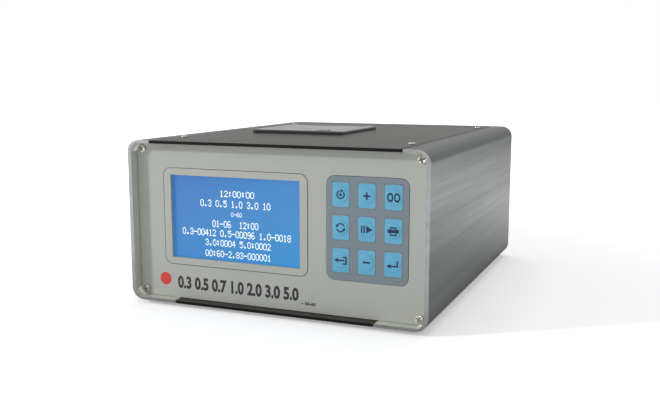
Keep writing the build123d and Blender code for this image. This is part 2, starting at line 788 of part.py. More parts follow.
write("platen_roller", along_x(disc(platen_y, platen_z, platen_radius)
                               - disc(platen_y, platen_z, platen_shaft_radius),
                               printer_x - platen_half, printer_x + platen_half))

# ---------------------------------------------------------------- print head and paper
head_plane = Plane(origin=(printer_x, platen_y, platen_z), x_dir=(1, 0, 0),
                   z_dir=(0, -math.cos(math.radians(head_tilt)), -math.sin(math.radians(head_tilt))))
head_start = platen_radius + head_gap


def on_head(sketch, start, thickness):
    """A plate square to the print head's normal, from the platen's axis outwards."""
    return extrude(head_plane.offset(start) * sketch, amount=thickness)


write("print_head", on_head(Rectangle(2 * head_half, head_height), head_start, head_thickness))
bracket_half = head_half - bracket_inset
bracket_start = head_start + head_thickness
back_middle = head_plane.offset(bracket_start).origin
bracket = on_head(Rectangle(2 * bracket_half, head_height), bracket_start, bracket_thickness)
leg_y = back_middle.Y - bracket_leg
bracket += along_x(rect(leg_y - bracket_thickness, leg_y, bucket_shelf,
                        back_middle.Z + bracket_rise),
                   printer_x - bracket_half, printer_x + bracket_half)
bracket += along_x(rect(bucket_front + bracket_setback, leg_y, bucket_shelf,
                        bucket_shelf + bracket_thickness),
                   printer_x - bracket_half, printer_x + bracket_half)
bracket -= on_head(Rectangle(3 * head_half, 3 * head_height), 0, bracket_start)
write("head_bracket", bracket)

roll_z = cradle_z - cradle_radius + roll_radius
write("paper_roll", along_x(disc(cradle_y, roll_z, roll_radius)
                            - disc(cradle_y, roll_z, roll_core_radius),
                            printer_x - paper_width / 2, printer_x + paper_width / 2))

# ---------------------------------------------------------------- main board and power
board_z = floor + spacer_length


def corner_places(x0, x1, y0, y1):
    return [(x, y) for x in (x0 + spacer_inset, x1 - spacer_inset)
            for y in (y0 + spacer_inset, y1 - spacer_inset)]


def loaded_board(x0, x1, y0, y1, parts):
    """A circuit board with its parts as plain blocks, each at shares of the board's sides."""
    top = board_z + board_thickness
    board = along_z(rect(x0, x1, y0, y1), board_z, top)
    width, depth = x1 - x0, y1 - y0
    for left, right, front, rear, height in parts:
        board += along_z(rect(x0 + left * width, x0 + right * width,
                              y0 + front * depth, y0 + rear * depth), top, top + height)
    return board


main_board_area = (board_left, board_right, board_front, board_rear)
supply_area = (supply_left, supply_right, supply_front, supply_rear)
spacer = extrude(RegularPolygon(spacer_radius, 6), amount=spacer_length)
write("board_spacers",
      *[Pos(x, panel_back, z) * Rot(-90, 0, 0) * spacer for x, z in lcd_spacer_places],
      *[Pos(x, y, floor) * spacer
        for x, y in corner_places(*main_board_area) + corner_places(*supply_area)])
write("main_board", loaded_board(*main_board_area, [
    (0.40, 0.56, 0.36, 0.60, chip_height),
    (0.08, 0.19, 0.36, 0.48, chip_height),
    (0.67, 0.88, 0.46, 0.56, inductor_height),
    (0.08, 0.29, 0.88, 0.96, socket_height),
    (0.36, 0.57, 0.88, 0.96, socket_height),
    (0.64, 0.85, 0.88, 0.96, socket_height)]))
write("power_supply", loaded_board(*supply_area, [
    (0.25, 0.62, 0.29, 0.65, transformer_height),
    (0.69, 0.75, 0.16, 0.84, heat_sink_height),
    (0.22, 0.50, 0.71, 0.94, filter_cap_height),
    (0.81, 0.95, 0.26, 0.74, relay_height)]))

pack = rect(pack_left + cell_radius, pack_left + 5 * cell_radius, floor, floor + 2 * cell_radius)
for index in (0, 2):
    pack += small_disc(pack_left + cell_radius * (1 + 2 * index), floor + cell_radius, cell_radius)
write("battery_pack", along_y(pack, pack_front, pack_front + cell_length))

# ---------------------------------------------------------------- sensor and air path
write("optical_block", along_z(rect(block_left, block_right, block_front, block_rear),
                               floor, block_top))
write("laser_module", along_x(small_disc(block_middle_y, beam_z, laser_radius),
                              block_right, block_right + laser_length))
write("detector_module", along_x(rect(block_middle_y - detector_size / 2,
                                      block_middle_y + detector_size / 2,
                                      beam_z - detector_size / 2, beam_z + detector_size / 2),
                                 block_left - detector_depth, block_left))

air_pump = along_z(rect(outlet_x - pump_width / 2, outlet_x + pump_width / 2,
                        pump_front, pump_front + pump_length), floor, pump_top)
air_pump += along_y(small_disc(outlet_x, outlet_z, pump_motor_radius),
                    pump_front + pump_length, pump_front + pump_length + pump_motor_length)
write("air_pump", air_pump)


def hose_section(place, along, side, radius):
    """A hose's section, in few faces."""
    return Plane(origin=place, x_dir=side, z_dir=along) * RegularPolygon(radius, 6)


def bent_hose(start, corner, end, bend, radius):
    """A hose in two straight runs at a right angle, joined by one round bend."""
    start, corner, end = Vector(start), Vector(corner), Vector(end)
    first, second = (corner - start).normalized(), (end - corner).normalized()
    side = first.cross(second)
    bend_start, bend_end = corner - first * bend, corner + second * bend
    hose = extrude(hose_section(start, first, side, radius), amount=(bend_start - start).length)
    hose += extrude(hose_section(bend_end, second, side, radius), amount=(end - bend_end).length)
    return hose + revolve(hose_section(bend_start, first, side, radius),
                          Axis(bend_start + second * bend, side), 90)


write("pump_hose", extrude(hose_section((outlet_x, block_rear, outlet_z), (0, 1, 0), (1, 0, 0),
                                        tube_outer), amount=hose_gap))
write("exhaust_hose", bent_hose((exhaust_x, exhaust_y, pump_top), (exhaust_x, exhaust_y, filter_z),
                                (exhaust_x, filter_front, filter_z), exhaust_bend, tube_outer))
exhaust_filter = along_y(Pos(exhaust_x, filter_z) * RegularPolygon(filter_radius, 16),
                         filter_front, filter_front + filter_length)
exhaust_filter += along_y(small_disc(exhaust_x, filter_z, nozzle_radius), filter_front + filter_length,
                          rear_outer + nozzle_flange)
write("exhaust_filter", exhaust_filter)

hexagon = Pos(nozzle_x, nozzle_z) * RegularPolygon(nozzle_flange_radius, 6)
nozzle_back = rear_inner - nozzle_nut
nozzle = along_y(disc(nozzle_x, nozzle_z, nozzle_radius), rear_outer, nozzle_tip)
nozzle += along_y(hexagon, rear_outer, rear_outer + nozzle_flange)
nozzle += along_y(small_disc(nozzle_x, nozzle_z, nozzle_radius + nozzle_collar), rear_inner, rear_outer)
nozzle += along_y(hexagon, nozzle_back, rear_inner)
nozzle -= along_y(small_disc(nozzle_x, nozzle_z, sample_bore), nozzle_back, nozzle_tip)
write("inlet_nozzle", nozzle)
write("sample_tube", bent_hose((nozzle_x, nozzle_back, nozzle_z),
                               (nozzle_x, block_middle_y, nozzle_z),
                               (nozzle_x, block_middle_y, block_top), sample_bend, sample_outer))


# ---------------------------------------------------------------- rear panel and its fittings
def around(x, z, half_width, half_height, radius=0.0):
    return rect(x - half_width, x + half_width, z - half_height, z + half_height, radius)


rear_panel = end_panel(rear_inner)
for x, half in ((inlet_x, inlet_body), (switch_x, switch_body), (serial_x, serial_body)):
    rear_panel -= along_y(around(x, socket_z, *half), rear_inner, rear_outer)
rear_panel -= along_y(small_disc(nozzle_x, nozzle_z, nozzle_radius + nozzle_collar),
                      rear_inner, rear_outer)
rear_panel -= along_y(small_disc(exhaust_x, filter_z, nozzle_radius), rear_inner, rear_outer)
for index in range(vent_count):
    vent_x = inlet_x - vent_start + index * vent_pitch
    rear_panel -= along_y(around(vent_x, nozzle_z - vent_drop, vent_width / 2, vent_height / 2),
                          rear_inner, rear_outer)
write("rear_panel", rear_panel)

body_front = rear_outer - body_depth
flange_back = rear_outer + fitting_flange
socket_floor = flange_back - socket_depth
mains_inlet = along_y(around(inlet_x, socket_z, *inlet_body), body_front, rear_outer)
mains_inlet += along_y(around(inlet_x, socket_z, inlet_body[0] + flange_lip,
                              inlet_body[1] + flange_lip, fitting_flange), rear_outer, flange_back)
mouth = around(inlet_x, socket_z, mouth_half_width, mouth_half_height)
mouth = chamfer(mouth.vertices().sort_by(Axis.Y)[:2], mouth_chamfer)
mains_inlet -= along_y(mouth, socket_floor, flange_back)
for pin_x, pin_z in ((-pin_side, -pin_fall), (pin_side, -pin_fall), (0, pin_rise)):
    pin_place = (inlet_x + pin_x, socket_z + pin_z)
    mains_inlet += along_y(around(*pin_place, pin_width / 2, pin_height / 2),
                           socket_floor - pin_root, flange_back - pin_setback)
    mains_inlet += along_y(around(*pin_place, tab_width / 2, tab_height / 2),
                           body_front - tab_length, body_front)
write("mains_inlet", mains_inlet)

pivot_y = rear_outer - pivot_setback
switch = along_y(around(switch_x, socket_z, *switch_body), body_front, rear_outer)
switch += along_y(around(switch_x, socket_z, switch_body[0] + flange_lip,
                         switch_body[1] + flange_lip), rear_outer, flange_back)
switch -= along_y(around(switch_x, socket_z, rocker_half_width + rocker_gap,
                         rocker_half_height + 3 * rocker_gap),
                  rear_outer - rocker_pocket, flange_back)
switch -= along_x(disc(pivot_y, socket_z, pivot_radius + running_gap),
                  switch_x - pivot_half - running_gap, switch_x + pivot_half + running_gap)
write("switch_housing", switch)
rocker = Polygon((-rocker_depth, -rocker_root_half), (rocker_depth, -rocker_half_height),
                 (rocker_waist, 0), (rocker_depth, rocker_half_height),
                 (-rocker_depth, rocker_root_half), align=None)
rocker = Pos(pivot_y, socket_z) * Rot(0, 0, rocker_tilt) * rocker
power_rocker = along_x(rocker, switch_x - rocker_half_width, switch_x + rocker_half_width)
power_rocker += along_x(disc(pivot_y, socket_z, pivot_radius),
                        switch_x - pivot_half, switch_x + pivot_half)
write("power_rocker", power_rocker)

serial = along_y(around(serial_x, socket_z, *serial_flange), rear_inner - serial_plate, rear_inner)
serial += along_y(around(serial_x, socket_z, *serial_body), rear_inner - serial_depth, rear_outer)
shell_section = around(serial_x, socket_z, *serial_shell)
shell_section = chamfer(shell_section.vertices().sort_by(Axis.Y)[:2], serial_shell[1] / 2)
serial += along_y(shell_section, rear_outer, rear_outer + serial_shell_length)
for side in (-1, 1):
    serial += along_y(Pos(serial_x + side * jack_side, socket_z) * RegularPolygon(jack_radius, 6),
                      rear_outer, rear_outer + jack_length)
write("serial_port", serial)
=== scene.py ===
# %% [markdown]
# # Benchtop airborne particle counter
# The instrument is an aluminium case: two one-piece side extrusions, a dark top and bottom
# cover between them, and grey end panels set back inside a bright rim. The front holds a wide
# blue display and a membrane keypad, and the top a strip printer under a small door.
# The solids come from the construction model, already at their real size and place. This
# script only dresses them: it softens edges, adds print and small fasteners, and gives every
# surface its finish.

# %% Load the construction model
import json
import math
import re

import bmesh
import bpy
from mathutils import Matrix, Vector


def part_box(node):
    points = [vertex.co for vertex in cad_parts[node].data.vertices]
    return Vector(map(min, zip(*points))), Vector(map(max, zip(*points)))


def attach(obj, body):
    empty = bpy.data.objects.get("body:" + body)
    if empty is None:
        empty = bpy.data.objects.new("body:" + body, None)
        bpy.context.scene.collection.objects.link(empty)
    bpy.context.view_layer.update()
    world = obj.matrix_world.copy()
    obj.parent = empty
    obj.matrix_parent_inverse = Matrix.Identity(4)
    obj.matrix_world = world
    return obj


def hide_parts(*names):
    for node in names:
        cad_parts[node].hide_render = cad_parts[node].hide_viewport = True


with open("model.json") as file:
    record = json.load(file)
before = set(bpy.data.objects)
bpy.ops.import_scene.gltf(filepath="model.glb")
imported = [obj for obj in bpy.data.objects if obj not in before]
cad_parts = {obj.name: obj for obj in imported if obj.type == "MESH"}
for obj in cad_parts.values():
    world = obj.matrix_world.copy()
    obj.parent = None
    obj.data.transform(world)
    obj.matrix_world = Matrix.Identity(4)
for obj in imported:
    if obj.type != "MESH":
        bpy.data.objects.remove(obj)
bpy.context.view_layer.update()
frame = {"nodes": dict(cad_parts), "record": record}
scene = bpy.context.scene
MM = 0.001
body_of = {node: body for body, nodes in frame["record"]["behaviour"]["bodies"].items()
           for node in nodes}
slot_of = {part["node"]: part["material_slot"] for part in frame["record"]["subparts"]}

# %% [markdown]
# ## Camera
# A product view from the front right, a little above the case. A person would stand about
# 70 cm away, so the perspective is plain to see: the side runs together towards the back.

# %% Camera
TURN, DROP = 22.62, 9.06  # degrees, to the left and down from a level look along Y
camera_data = bpy.data.cameras.new("product_camera")
camera_data.lens = 45.036
camera_data.sensor_width = 36.0
camera_data.clip_start = 0.01
camera = bpy.data.objects.new("product_camera", camera_data)
camera.location = (0.277281, -0.697960, 0.181083)
camera.rotation_euler = (math.radians(90.0 - DROP), 0.0, math.radians(TURN))
scene.collection.objects.link(camera)
scene.camera = camera
scene.view_settings.view_transform = "Standard"
print("camera", round(camera.location.length, 3), "m from the middle of the footprint")

# %% [markdown]
# ## Node helpers
# Every finish is built from nodes. A few short helpers keep that readable: one sets or links a
# node's sockets, one adds a node, one starts a group with named inputs and outputs, and the
# others are the small sums that come back in every finish.

# %% Node helpers
def feed(tree, node, **sockets):
    """Sets a node's sockets to numbers and colours, or links other nodes to them.
    A socket goes by its name, or by _ and its number where names repeat."""
    for name, value in sockets.items():
        socket = node.inputs[int(name[1:]) if name[1:].isdigit() else name.replace("_", " ")]
        if isinstance(value, bpy.types.NodeSocket):
            tree.links.new(value, socket)
        else:
            socket.default_value = value


def add(tree, kind, settings=None, **sockets):
    """One node; settings are its own properties."""
    made = tree.nodes.new("ShaderNode" + kind)
    for name, value in (settings or {}).items():
        setattr(made, name, value)
    feed(tree, made, **sockets)
    return made


def start_group(name, inputs, outputs):
    """A shader node group: inputs are {name: first value}, outputs are names of numbers."""
    group = bpy.data.node_groups.new(name, "ShaderNodeTree")
    for label, value in inputs.items():
        kind = "NodeSocketFloat" if isinstance(value, float) else "NodeSocketVector"
        group.interface.new_socket(label, in_out="INPUT", socket_type=kind).default_value = value
    for label in outputs:
        group.interface.new_socket(label, in_out="OUTPUT", socket_type="NodeSocketFloat")
    entry = group.nodes.new("NodeGroupInput").outputs
    return group, entry, group.nodes.new("NodeGroupOutput")


def place(tree, group, **sockets):
    """The group used as one node, with its own values."""
    return add(tree, "Group", {"node_tree": group}, **sockets).outputs


def maths(tree, operation, first, second, clamp=False):
    settings = {"operation": operation, "use_clamp": clamp}
    return add(tree, "Math", settings, _0=first, _1=second).outputs[0]


def blend_colours(tree, share, first, second, blend_type="MIX"):
    settings = {"data_type": "RGBA", "blend_type": blend_type}
    return add(tree, "Mix", settings, _0=share, _6=first, _7=second).outputs[2]


def shaded(tree, colour, shade):
    """The colour, made lighter or darker by a number that changes over the surface."""
    grey = add(tree, "CombineColor", _0=shade, _1=shade, _2=shade).outputs[0]
    return blend_colours(tree, 1.0, colour, grey, "MULTIPLY")


def ramp(tree, value, low, high, out_low=0.0, out_high=1.0):
    """Remaps low..high to out_low..out_high, held at both ends."""
    return add(tree, "MapRange", {"clamp": True}, Value=value, From_Min=low, From_Max=high,
               To_Min=out_low, To_Max=out_high).outputs[0]


def where(tree):
    """The point on the piece, in metres in the case's own frame."""
    return add(tree, "TexCoord").outputs["Object"]


print("node helpers ready")

# %% [markdown]
# ## Shared effects
# Each of these effects is a group, so that a finish uses it as one node with its own values.
# Brushing draws the long fine lines that an abrasive belt leaves in one direction. Grain is the
# fine even texture of lacquer, film and moulded plastic. Handling is the faint cloudiness of a
# surface that has been touched and wiped. Worn edge reads a mark that the edge rounding leaves
# on its faces, and breaks it up with noise, so that corners shine where hands and boxes have
# rubbed them.

# %% Brushing
FINE_SHARE = 0.65  # of the fine lines in the pattern; coarser ones make the rest
COARSER = (0.22, 0.35, 0.22)  # the coarse lines' scale against the fine ones'
brushing, given, result = start_group(
    "Brushing", {"Line Scale": (900.0, 5.0, 900.0), "Contrast": 1.0}, ("Lines", "Height"))
stretched = add(brushing, "VectorMath", {"operation": "MULTIPLY"}, _0=where(brushing),
                _1=given["Line Scale"]).outputs[0]
fine = add(brushing, "TexNoise", Vector=stretched, Scale=1.0, Detail=4.0,
           Roughness=0.65).outputs["Fac"]
longer = add(brushing, "VectorMath", {"operation": "MULTIPLY"}, _0=stretched,
             _1=COARSER).outputs[0]
coarse = add(brushing, "TexNoise", Vector=longer, Scale=1.0, Detail=2.0).outputs["Fac"]
both = maths(brushing, "ADD", maths(brushing, "MULTIPLY", fine, FINE_SHARE),
             maths(brushing, "MULTIPLY", coarse, 1.0 - FINE_SHARE))
centred = maths(brushing, "MULTIPLY", maths(brushing, "SUBTRACT", both, 0.5),
                given["Contrast"])
feed(brushing, result, Lines=maths(brushing, "ADD", centred, 0.5, clamp=True), Height=both)

# %% Grain
grain, given, result = start_group("Grain", {"Scale": 2500.0}, ("Grain",))
speckle = add(grain, "TexNoise", Vector=where(grain), Scale=given["Scale"], Detail=3.0,
              Roughness=0.6).outputs["Fac"]
feed(grain, result, Grain=speckle)

# %% Handling
handling, given, result = start_group(
    "Handling", {"Scale": 14.0, "Amount": 0.1}, ("Roughness Shift", "Shade"))
cloud = add(handling, "TexNoise", Vector=where(handling), Scale=given["Scale"], Detail=5.0,
            Roughness=0.55, Distortion=0.6).outputs["Fac"]
swing = maths(handling, "MULTIPLY", maths(handling, "SUBTRACT", cloud, 0.5), given["Amount"])
feed(handling, result, Roughness_Shift=swing, Shade=maths(handling, "ADD", swing, 1.0))

# %% Worn edge
worn_edge, given, result = start_group("Worn Edge", {"Edge": 0.0, "Wear": 0.5}, ("Mask",))
patches = add(worn_edge, "TexNoise", Vector=where(worn_edge), Scale=160.0, Detail=4.0,
              Roughness=0.7).outputs["Fac"]
threshold = maths(worn_edge, "SUBTRACT", 1.0, given["Wear"])
broken = ramp(worn_edge, maths(worn_edge, "SUBTRACT", patches, threshold), -0.15, 0.15)
feed(worn_edge, result, Mask=maths(worn_edge, "MULTIPLY", broken, given["Edge"]))
print("node groups:", [group.name for group in bpy.data.node_groups])

# %% [markdown]
# ## Finishes
# Two functions make nearly every finish. A plain one has a colour and a roughness that drift a
# little with handling, and a grain in the bump. A brushed one has lines that steer colour,
# gloss and bump together, broad bands of painted reflection that lighten and darken its colour
# along the depth, and bare metal along worn edges.

# %% Plain finish
SMOOTHEST = 0.05  # no finish is glossier than this roughness
SPECKLE = 0.03  # how far the grain lightens and darkens the colour


def new_finish(name):
    made = bpy.data.materials.new(name)
    made.use_nodes = True
    return made, made.node_tree, made.node_tree.nodes["Principled BSDF"]


def drifting(tree, roughness, shift):
    return ramp(tree, maths(tree, "ADD", roughness, shift), SMOOTHEST, 1.0, SMOOTHEST, 1.0)


def relief(tree, height, depth, strength):
    """The normal of a surface with a height on it, up to depth in mm."""
    return add(tree, "Bump", Strength=strength, Distance=depth * MM, Height=height).outputs[0]


def plain_finish(name, colour, roughness, grain_scale, grain_height, metallic=0.0, drift=0.12,
                 coat=0.0, specular=0.5):
    """Lacquer, moulded plastic, rubber, film or plain metal; the grain's height is in mm."""
    made, tree, shader = new_finish(name)
    touched = place(tree, handling, Scale=16.0, Amount=drift)
    speckle = place(tree, grain, Scale=grain_scale)["Grain"]
    dots = ramp(tree, speckle, 0.3, 0.7, 1.0 - SPECKLE, 1.0 + SPECKLE)
    shade = maths(tree, "MULTIPLY", touched["Shade"], dots)
    feed(tree, shader, Base_Color=shaded(tree, (*colour, 1.0), shade),
         Roughness=drifting(tree, roughness, touched["Roughness Shift"]),
         Normal=relief(tree, speckle, grain_height, 0.5), Metallic=metallic,
         Coat_Weight=coat, Specular_IOR_Level=specular)
    return made


# %% Brushed finish
EDGE_MARK = "edge_mark"  # the attribute that the edge rounding leaves on its faces
ALONG_DEPTH = (2600.0, 14.0, 2600.0)  # small along Y, so the lines run front to back
REFLECTION_BAND_SHARE = 0.022  # scale of the painted reflection bands against the fine lines
LINE_DEPTH = 0.006  # mm
LINE_GLOSS = 0.07  # how far a line's roughness leaves the mean
BARE_METAL = (0.55, 0.54, 0.52, 1.0)


def brushed_finish(name, dark, bright, roughness, contrast, edge_tint, reflection_bands, wear=0.0):
    """Metal with abrasive lines along the case's depth."""
    made, tree, shader = new_finish(name)
    strokes = place(tree, brushing, Line_Scale=ALONG_DEPTH, Contrast=contrast)
    painted_reflection = place(tree, brushing, Line_Scale=[value * REFLECTION_BAND_SHARE for value in ALONG_DEPTH],
                  Contrast=1.0)["Lines"]
    touched = place(tree, handling, Scale=7.0, Amount=0.12)
    colour = blend_colours(tree, strokes["Lines"], (*dark, 1.0), (*bright, 1.0))
    # Broad bands along the depth lighten and darken the colour: a painted reflection of streaks
    # in the studio.
    colour = shaded(tree, colour, ramp(tree, painted_reflection, 0.35, 0.65, 1.0 - reflection_bands, 1.0 + reflection_bands))
    if wear:
        mark = add(tree, "Attribute", {"attribute_name": EDGE_MARK}).outputs["Fac"]
        mask = place(tree, worn_edge, Edge=mark, Wear=wear)["Mask"]
        colour = blend_colours(tree, mask, colour, BARE_METAL)
    gloss = ramp(tree, strokes["Lines"], 0.0, 1.0, LINE_GLOSS, -LINE_GLOSS)
    shift = maths(tree, "ADD", touched["Roughness Shift"], gloss)
    feed(tree, shader, Base_Color=colour, Roughness=drifting(tree, roughness, shift),
         Normal=relief(tree, strokes["Height"], LINE_DEPTH, 0.6), Metallic=1.0,
         Specular_Tint=(edge_tint, edge_tint, edge_tint, 1.0))
    return made


# %% All the plain and brushed finishes
PLAIN_FINISHES = {  # colour, roughness, grains to a metre, their height, the rest
    "mill_aluminium": ((0.62, 0.65, 0.58), 0.55, 1500.0, 0.006, {"metallic": 0.6}),
    "panel_grey": ((0.42, 0.433, 0.4), 0.5, 1800.0, 0.015, {"drift": 0.05}),
    "surround_film": ((0.425, 0.435, 0.4), 0.45, 3000.0, 0.006, {"drift": 0.05}),
    "keypad_grey": ((0.175, 0.222, 0.25), 0.5, 3000.0, 0.01, {"drift": 0.08}),
    "key_blue": ((0.1, 0.39, 0.6), 0.38, 3000.0, 0.006, {"drift": 0.06, "coat": 0.1}),
    "black_steel": ((0.02, 0.02, 0.021), 0.5, 1500.0, 0.01, {}),
    "bright_steel": ((0.5, 0.49, 0.45), 0.22, 900.0, 0.004, {"metallic": 1.0}),
    "zinc_steel": ((0.5, 0.51, 0.52), 0.35, 300.0, 0.006, {"metallic": 1.0, "drift": 0.3}),
    "black_anodised": ((0.03, 0.03, 0.033), 0.4, 2500.0, 0.008, {"metallic": 0.7}),
    "brass": ((0.7, 0.52, 0.24), 0.3, 700.0, 0.005, {"metallic": 1.0}),
    "black_plastic": ((0.012, 0.012, 0.013), 0.18, 2200.0, 0.004, {"specular": 0.62}),
    "white_plastic": ((0.78, 0.78, 0.75), 0.45, 1500.0, 0.01, {}),
    "button_grey": ((0.2, 0.2, 0.21), 0.4, 2500.0, 0.01, {}),
    "black_rubber": ((0.025, 0.025, 0.025), 0.75, 1500.0, 0.03, {}),
    "circuit_film": ((0.5, 0.42, 0.2), 0.4, 2500.0, 0.02, {}),
    "ceramic": ((0.75, 0.72, 0.66), 0.25, 2500.0, 0.004, {}),
    "paper": ((0.88, 0.87, 0.84), 0.8, 3500.0, 0.02, {}),
    "shrink_wrap": ((0.03, 0.1, 0.32), 0.3, 700.0, 0.02, {}),
    "clear_tube": ((0.72, 0.73, 0.7), 0.3, 900.0, 0.01, {}),
    "dark_tube": ((0.05, 0.05, 0.05), 0.5, 900.0, 0.01, {}),
}
finishes = {name: plain_finish(name, *values, **rest)
            for name, (*values, rest) in PLAIN_FINISHES.items()}
finishes["bare_aluminium"] = brushed_finish(
    "bare_aluminium", (0.17, 0.182, 0.178), (0.34, 0.352, 0.345), 0.36, contrast=1.2,
    edge_tint=0.5, reflection_bands=0.2)
finishes["dark_anodised"] = brushed_finish(
    "dark_anodised", (0.195, 0.192, 0.178), (0.29, 0.285, 0.262), 0.32, contrast=0.9,
    edge_tint=0.35, reflection_bands=0.1, wear=0.3)
print("finishes:", len(finishes))

# %% [markdown]
# A circuit board shows its copper tracks as slightly raised lines under the green mask. A
# brick pattern with thin mortar gives straight tracks at a believable pitch, and noise thins
# them out.

# %% Circuit board
BOARD_GREEN, TRACK_GREEN = (0.012, 0.11, 0.05, 1.0), (0.04, 0.22, 0.09, 1.0)
finishes["circuit_board"], tree, shader = new_finish("circuit_board")
own_place = where(tree)
tracks = add(tree, "TexBrick", Vector=own_place, Scale=160.0, Mortar_Size=0.03,
             Brick_Width=0.9, Row_Height=0.3).outputs["Fac"]
thinned = add(tree, "TexNoise", Vector=own_place, Scale=60.0).outputs["Fac"]
visible = maths(tree, "MULTIPLY", tracks, ramp(tree, thinned, 0.4, 0.5))
feed(tree, shader, Base_Color=blend_colours(tree, visible, BOARD_GREEN, TRACK_GREEN),
     Normal=relief(tree, visible, 0.03, 0.4), Roughness=0.35)
print("tracks drawn on the boards")

# %% [markdown]
# ## The lit display
# A blue graphic display is lit from behind through a diffuser, so it glows rather than
# reflects. The light is a little uneven: deeper blue at the top left, and paler and greener at
# the lower right, near the lamps. A smooth glass front adds its own soft reflection.

# %% Display glow
DEEP_BLUE, PALE_BLUE = (0.045, 0.19, 0.53, 1.0), (0.04, 0.3, 0.68, 1.0)
UNLIT_SHARE = (0.25, 0.25, 0.25, 1.0)  # of the glow's colour that stays with the lamp off
glass_low, glass_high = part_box("lcd_glass")
finishes["display_glass"], tree, shader = new_finish("display_glass")
axes = add(tree, "SeparateXYZ", _0=where(tree)).outputs
across = ramp(tree, axes[0], glass_low.x, glass_high.x)
down = maths(tree, "MULTIPLY", ramp(tree, axes[2], glass_high.z, glass_low.z), 1.2)
near_lamps = maths(tree, "MULTIPLY", maths(tree, "ADD", across, down), 0.45, clamp=True)
cloud = place(tree, handling, Scale=9.0, Amount=0.16)["Roughness Shift"]
glow = blend_colours(tree, maths(tree, "ADD", near_lamps, cloud, clamp=True), DEEP_BLUE,
                     PALE_BLUE)
feed(tree, shader, Emission_Color=glow, Emission_Strength=0.72,
     Base_Color=blend_colours(tree, 1.0, glow, UNLIT_SHARE, "MULTIPLY"),
     Roughness=0.12, Specular_IOR_Level=0.25)

# %% Every solid gets its finish
for name, node in frame["nodes"].items():
    node.data.materials.clear()
    node.data.materials.append(finishes[slot_of[name]])
print("finishes in use:", len({slot_of[name] for name in frame["nodes"]}))

# %% [markdown]
# ## Softened edges
# The construction solids have perfectly sharp edges. Real extrusions are deburred and moulded
# parts have small radii, and those thin rounded edges catch the light. Each visible solid is
# copied, its loose triangles are merged into clean faces, and its sharp edges get a narrow
# bevel. The new bevel faces carry a mark, so that a finish can wear them.

# %% Making a piece
def into_piece(name, shape, node, *stands_for, smooth=40.0, finish=None):
    """A finished object from a bmesh, on the same body and of the same slot as a node."""
    body, slot = body_of[node], slot_of[node]
    data = bpy.data.meshes.new(name)
    shape.to_mesh(data)
    shape.free()
    data.polygons.foreach_set("use_smooth", [True] * len(data.polygons))
    data.set_sharp_from_angle(angle=math.radians(smooth))
    data.materials.append(finish or finishes[slot])
    made = bpy.data.objects.new(name, data)
    scene.collection.objects.link(made)
    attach(made, body)
    if stands_for:
        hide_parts(*stands_for)
    return made


def even_shading(made):
    """Keeps large faces flat and lets only the narrow bevels turn."""
    weights = made.modifiers.new("even_shading", "WEIGHTED_NORMAL")
    weights.keep_sharp = True
    weights.weight = 80
    return made


# %% Copying and bevelling a solid
SAME_PLACE = 0.002 * MM
FLAT = math.radians(0.5)
SHARP = math.radians(32.0)  # an edge that turns more than this gets a bevel
BEVEL_SEGMENTS = 2
BEVEL_ROOM = 2.2  # a face is at least this many bevels wide
AT_THE_END = 0.01 * MM  # this near to the solid's end, a corner is on it


def merged_copy(node):
    """A solid as clean faces: its triangles joined where they meet and lie flat."""
    shape = bmesh.new()
    shape.from_mesh(frame["nodes"][node].data)
    bmesh.ops.remove_doubles(shape, verts=shape.verts, dist=SAME_PLACE)
    bmesh.ops.dissolve_limit(shape, angle_limit=FLAT, verts=shape.verts, edges=shape.edges)
    return shape


def extent(points):
    """Lowest and highest corner of the box round some points."""
    return (Vector([min(point[i] for point in points) for i in range(3)]),
            Vector([max(point[i] for point in points) for i in range(3)]))


def roomy(edge, width):
    """Whether both faces beside this edge have room for a bevel of this width."""
    beside = [other for face in edge.link_faces for other in face.edges
              if other is not edge and set(other.verts) & set(edge.verts)]
    return min(other.calc_length() for other in beside) > BEVEL_ROOM * width * MM


def round_edges(shape, width, only_ends):
    """Bevels the sharp edges by width in mm, and marks the faces that this makes."""
    sharp = [edge for edge in shape.edges
             if edge.is_manifold and edge.calc_face_angle() > SHARP and roomy(edge, width)]
    if only_ends:
        ends = extent([corner.co for corner in shape.verts])
        sharp = [edge for edge in sharp
                 if all(min(abs(corner.co.y - end.y) for end in ends) < AT_THE_END
                        for corner in edge.verts)]
    made = bmesh.ops.bevel(shape, geom=sharp, offset=width * MM, offset_type="OFFSET",
                           affect="EDGES", segments=BEVEL_SEGMENTS, profile=0.5, material=-1,
                           clamp_overlap=True)["faces"]
    mark = shape.loops.layers.float.new(EDGE_MARK)
    for face in made:
        for loop in face.loops:
            loop[mark] = 1.0
    strips = sorted(min(edge.calc_length() for edge in face.edges) for face in made)
    print("  bevels on", len(sharp), "edges, strips of",
          round(strips[len(strips) // 2] / MM, 3), "mm")


# %% [markdown]
# The ledge that carries a cover and the screw port beside it reach into the extrusion's rounded
# corner, and on the construction solid their outer corners stand up to 1.3 mm proud of the
# round. Here those ridges are taken off: a ridge's faces are deleted, and the round's own facets
# are drawn on between its ends.

# %% Clean corners on the extrusions
CASE_ROUND = 10.0 * MM  # radius of the extrusion's outer corners
PROUD = 0.2 * MM  # a corner that stands out by more belongs to a ridge


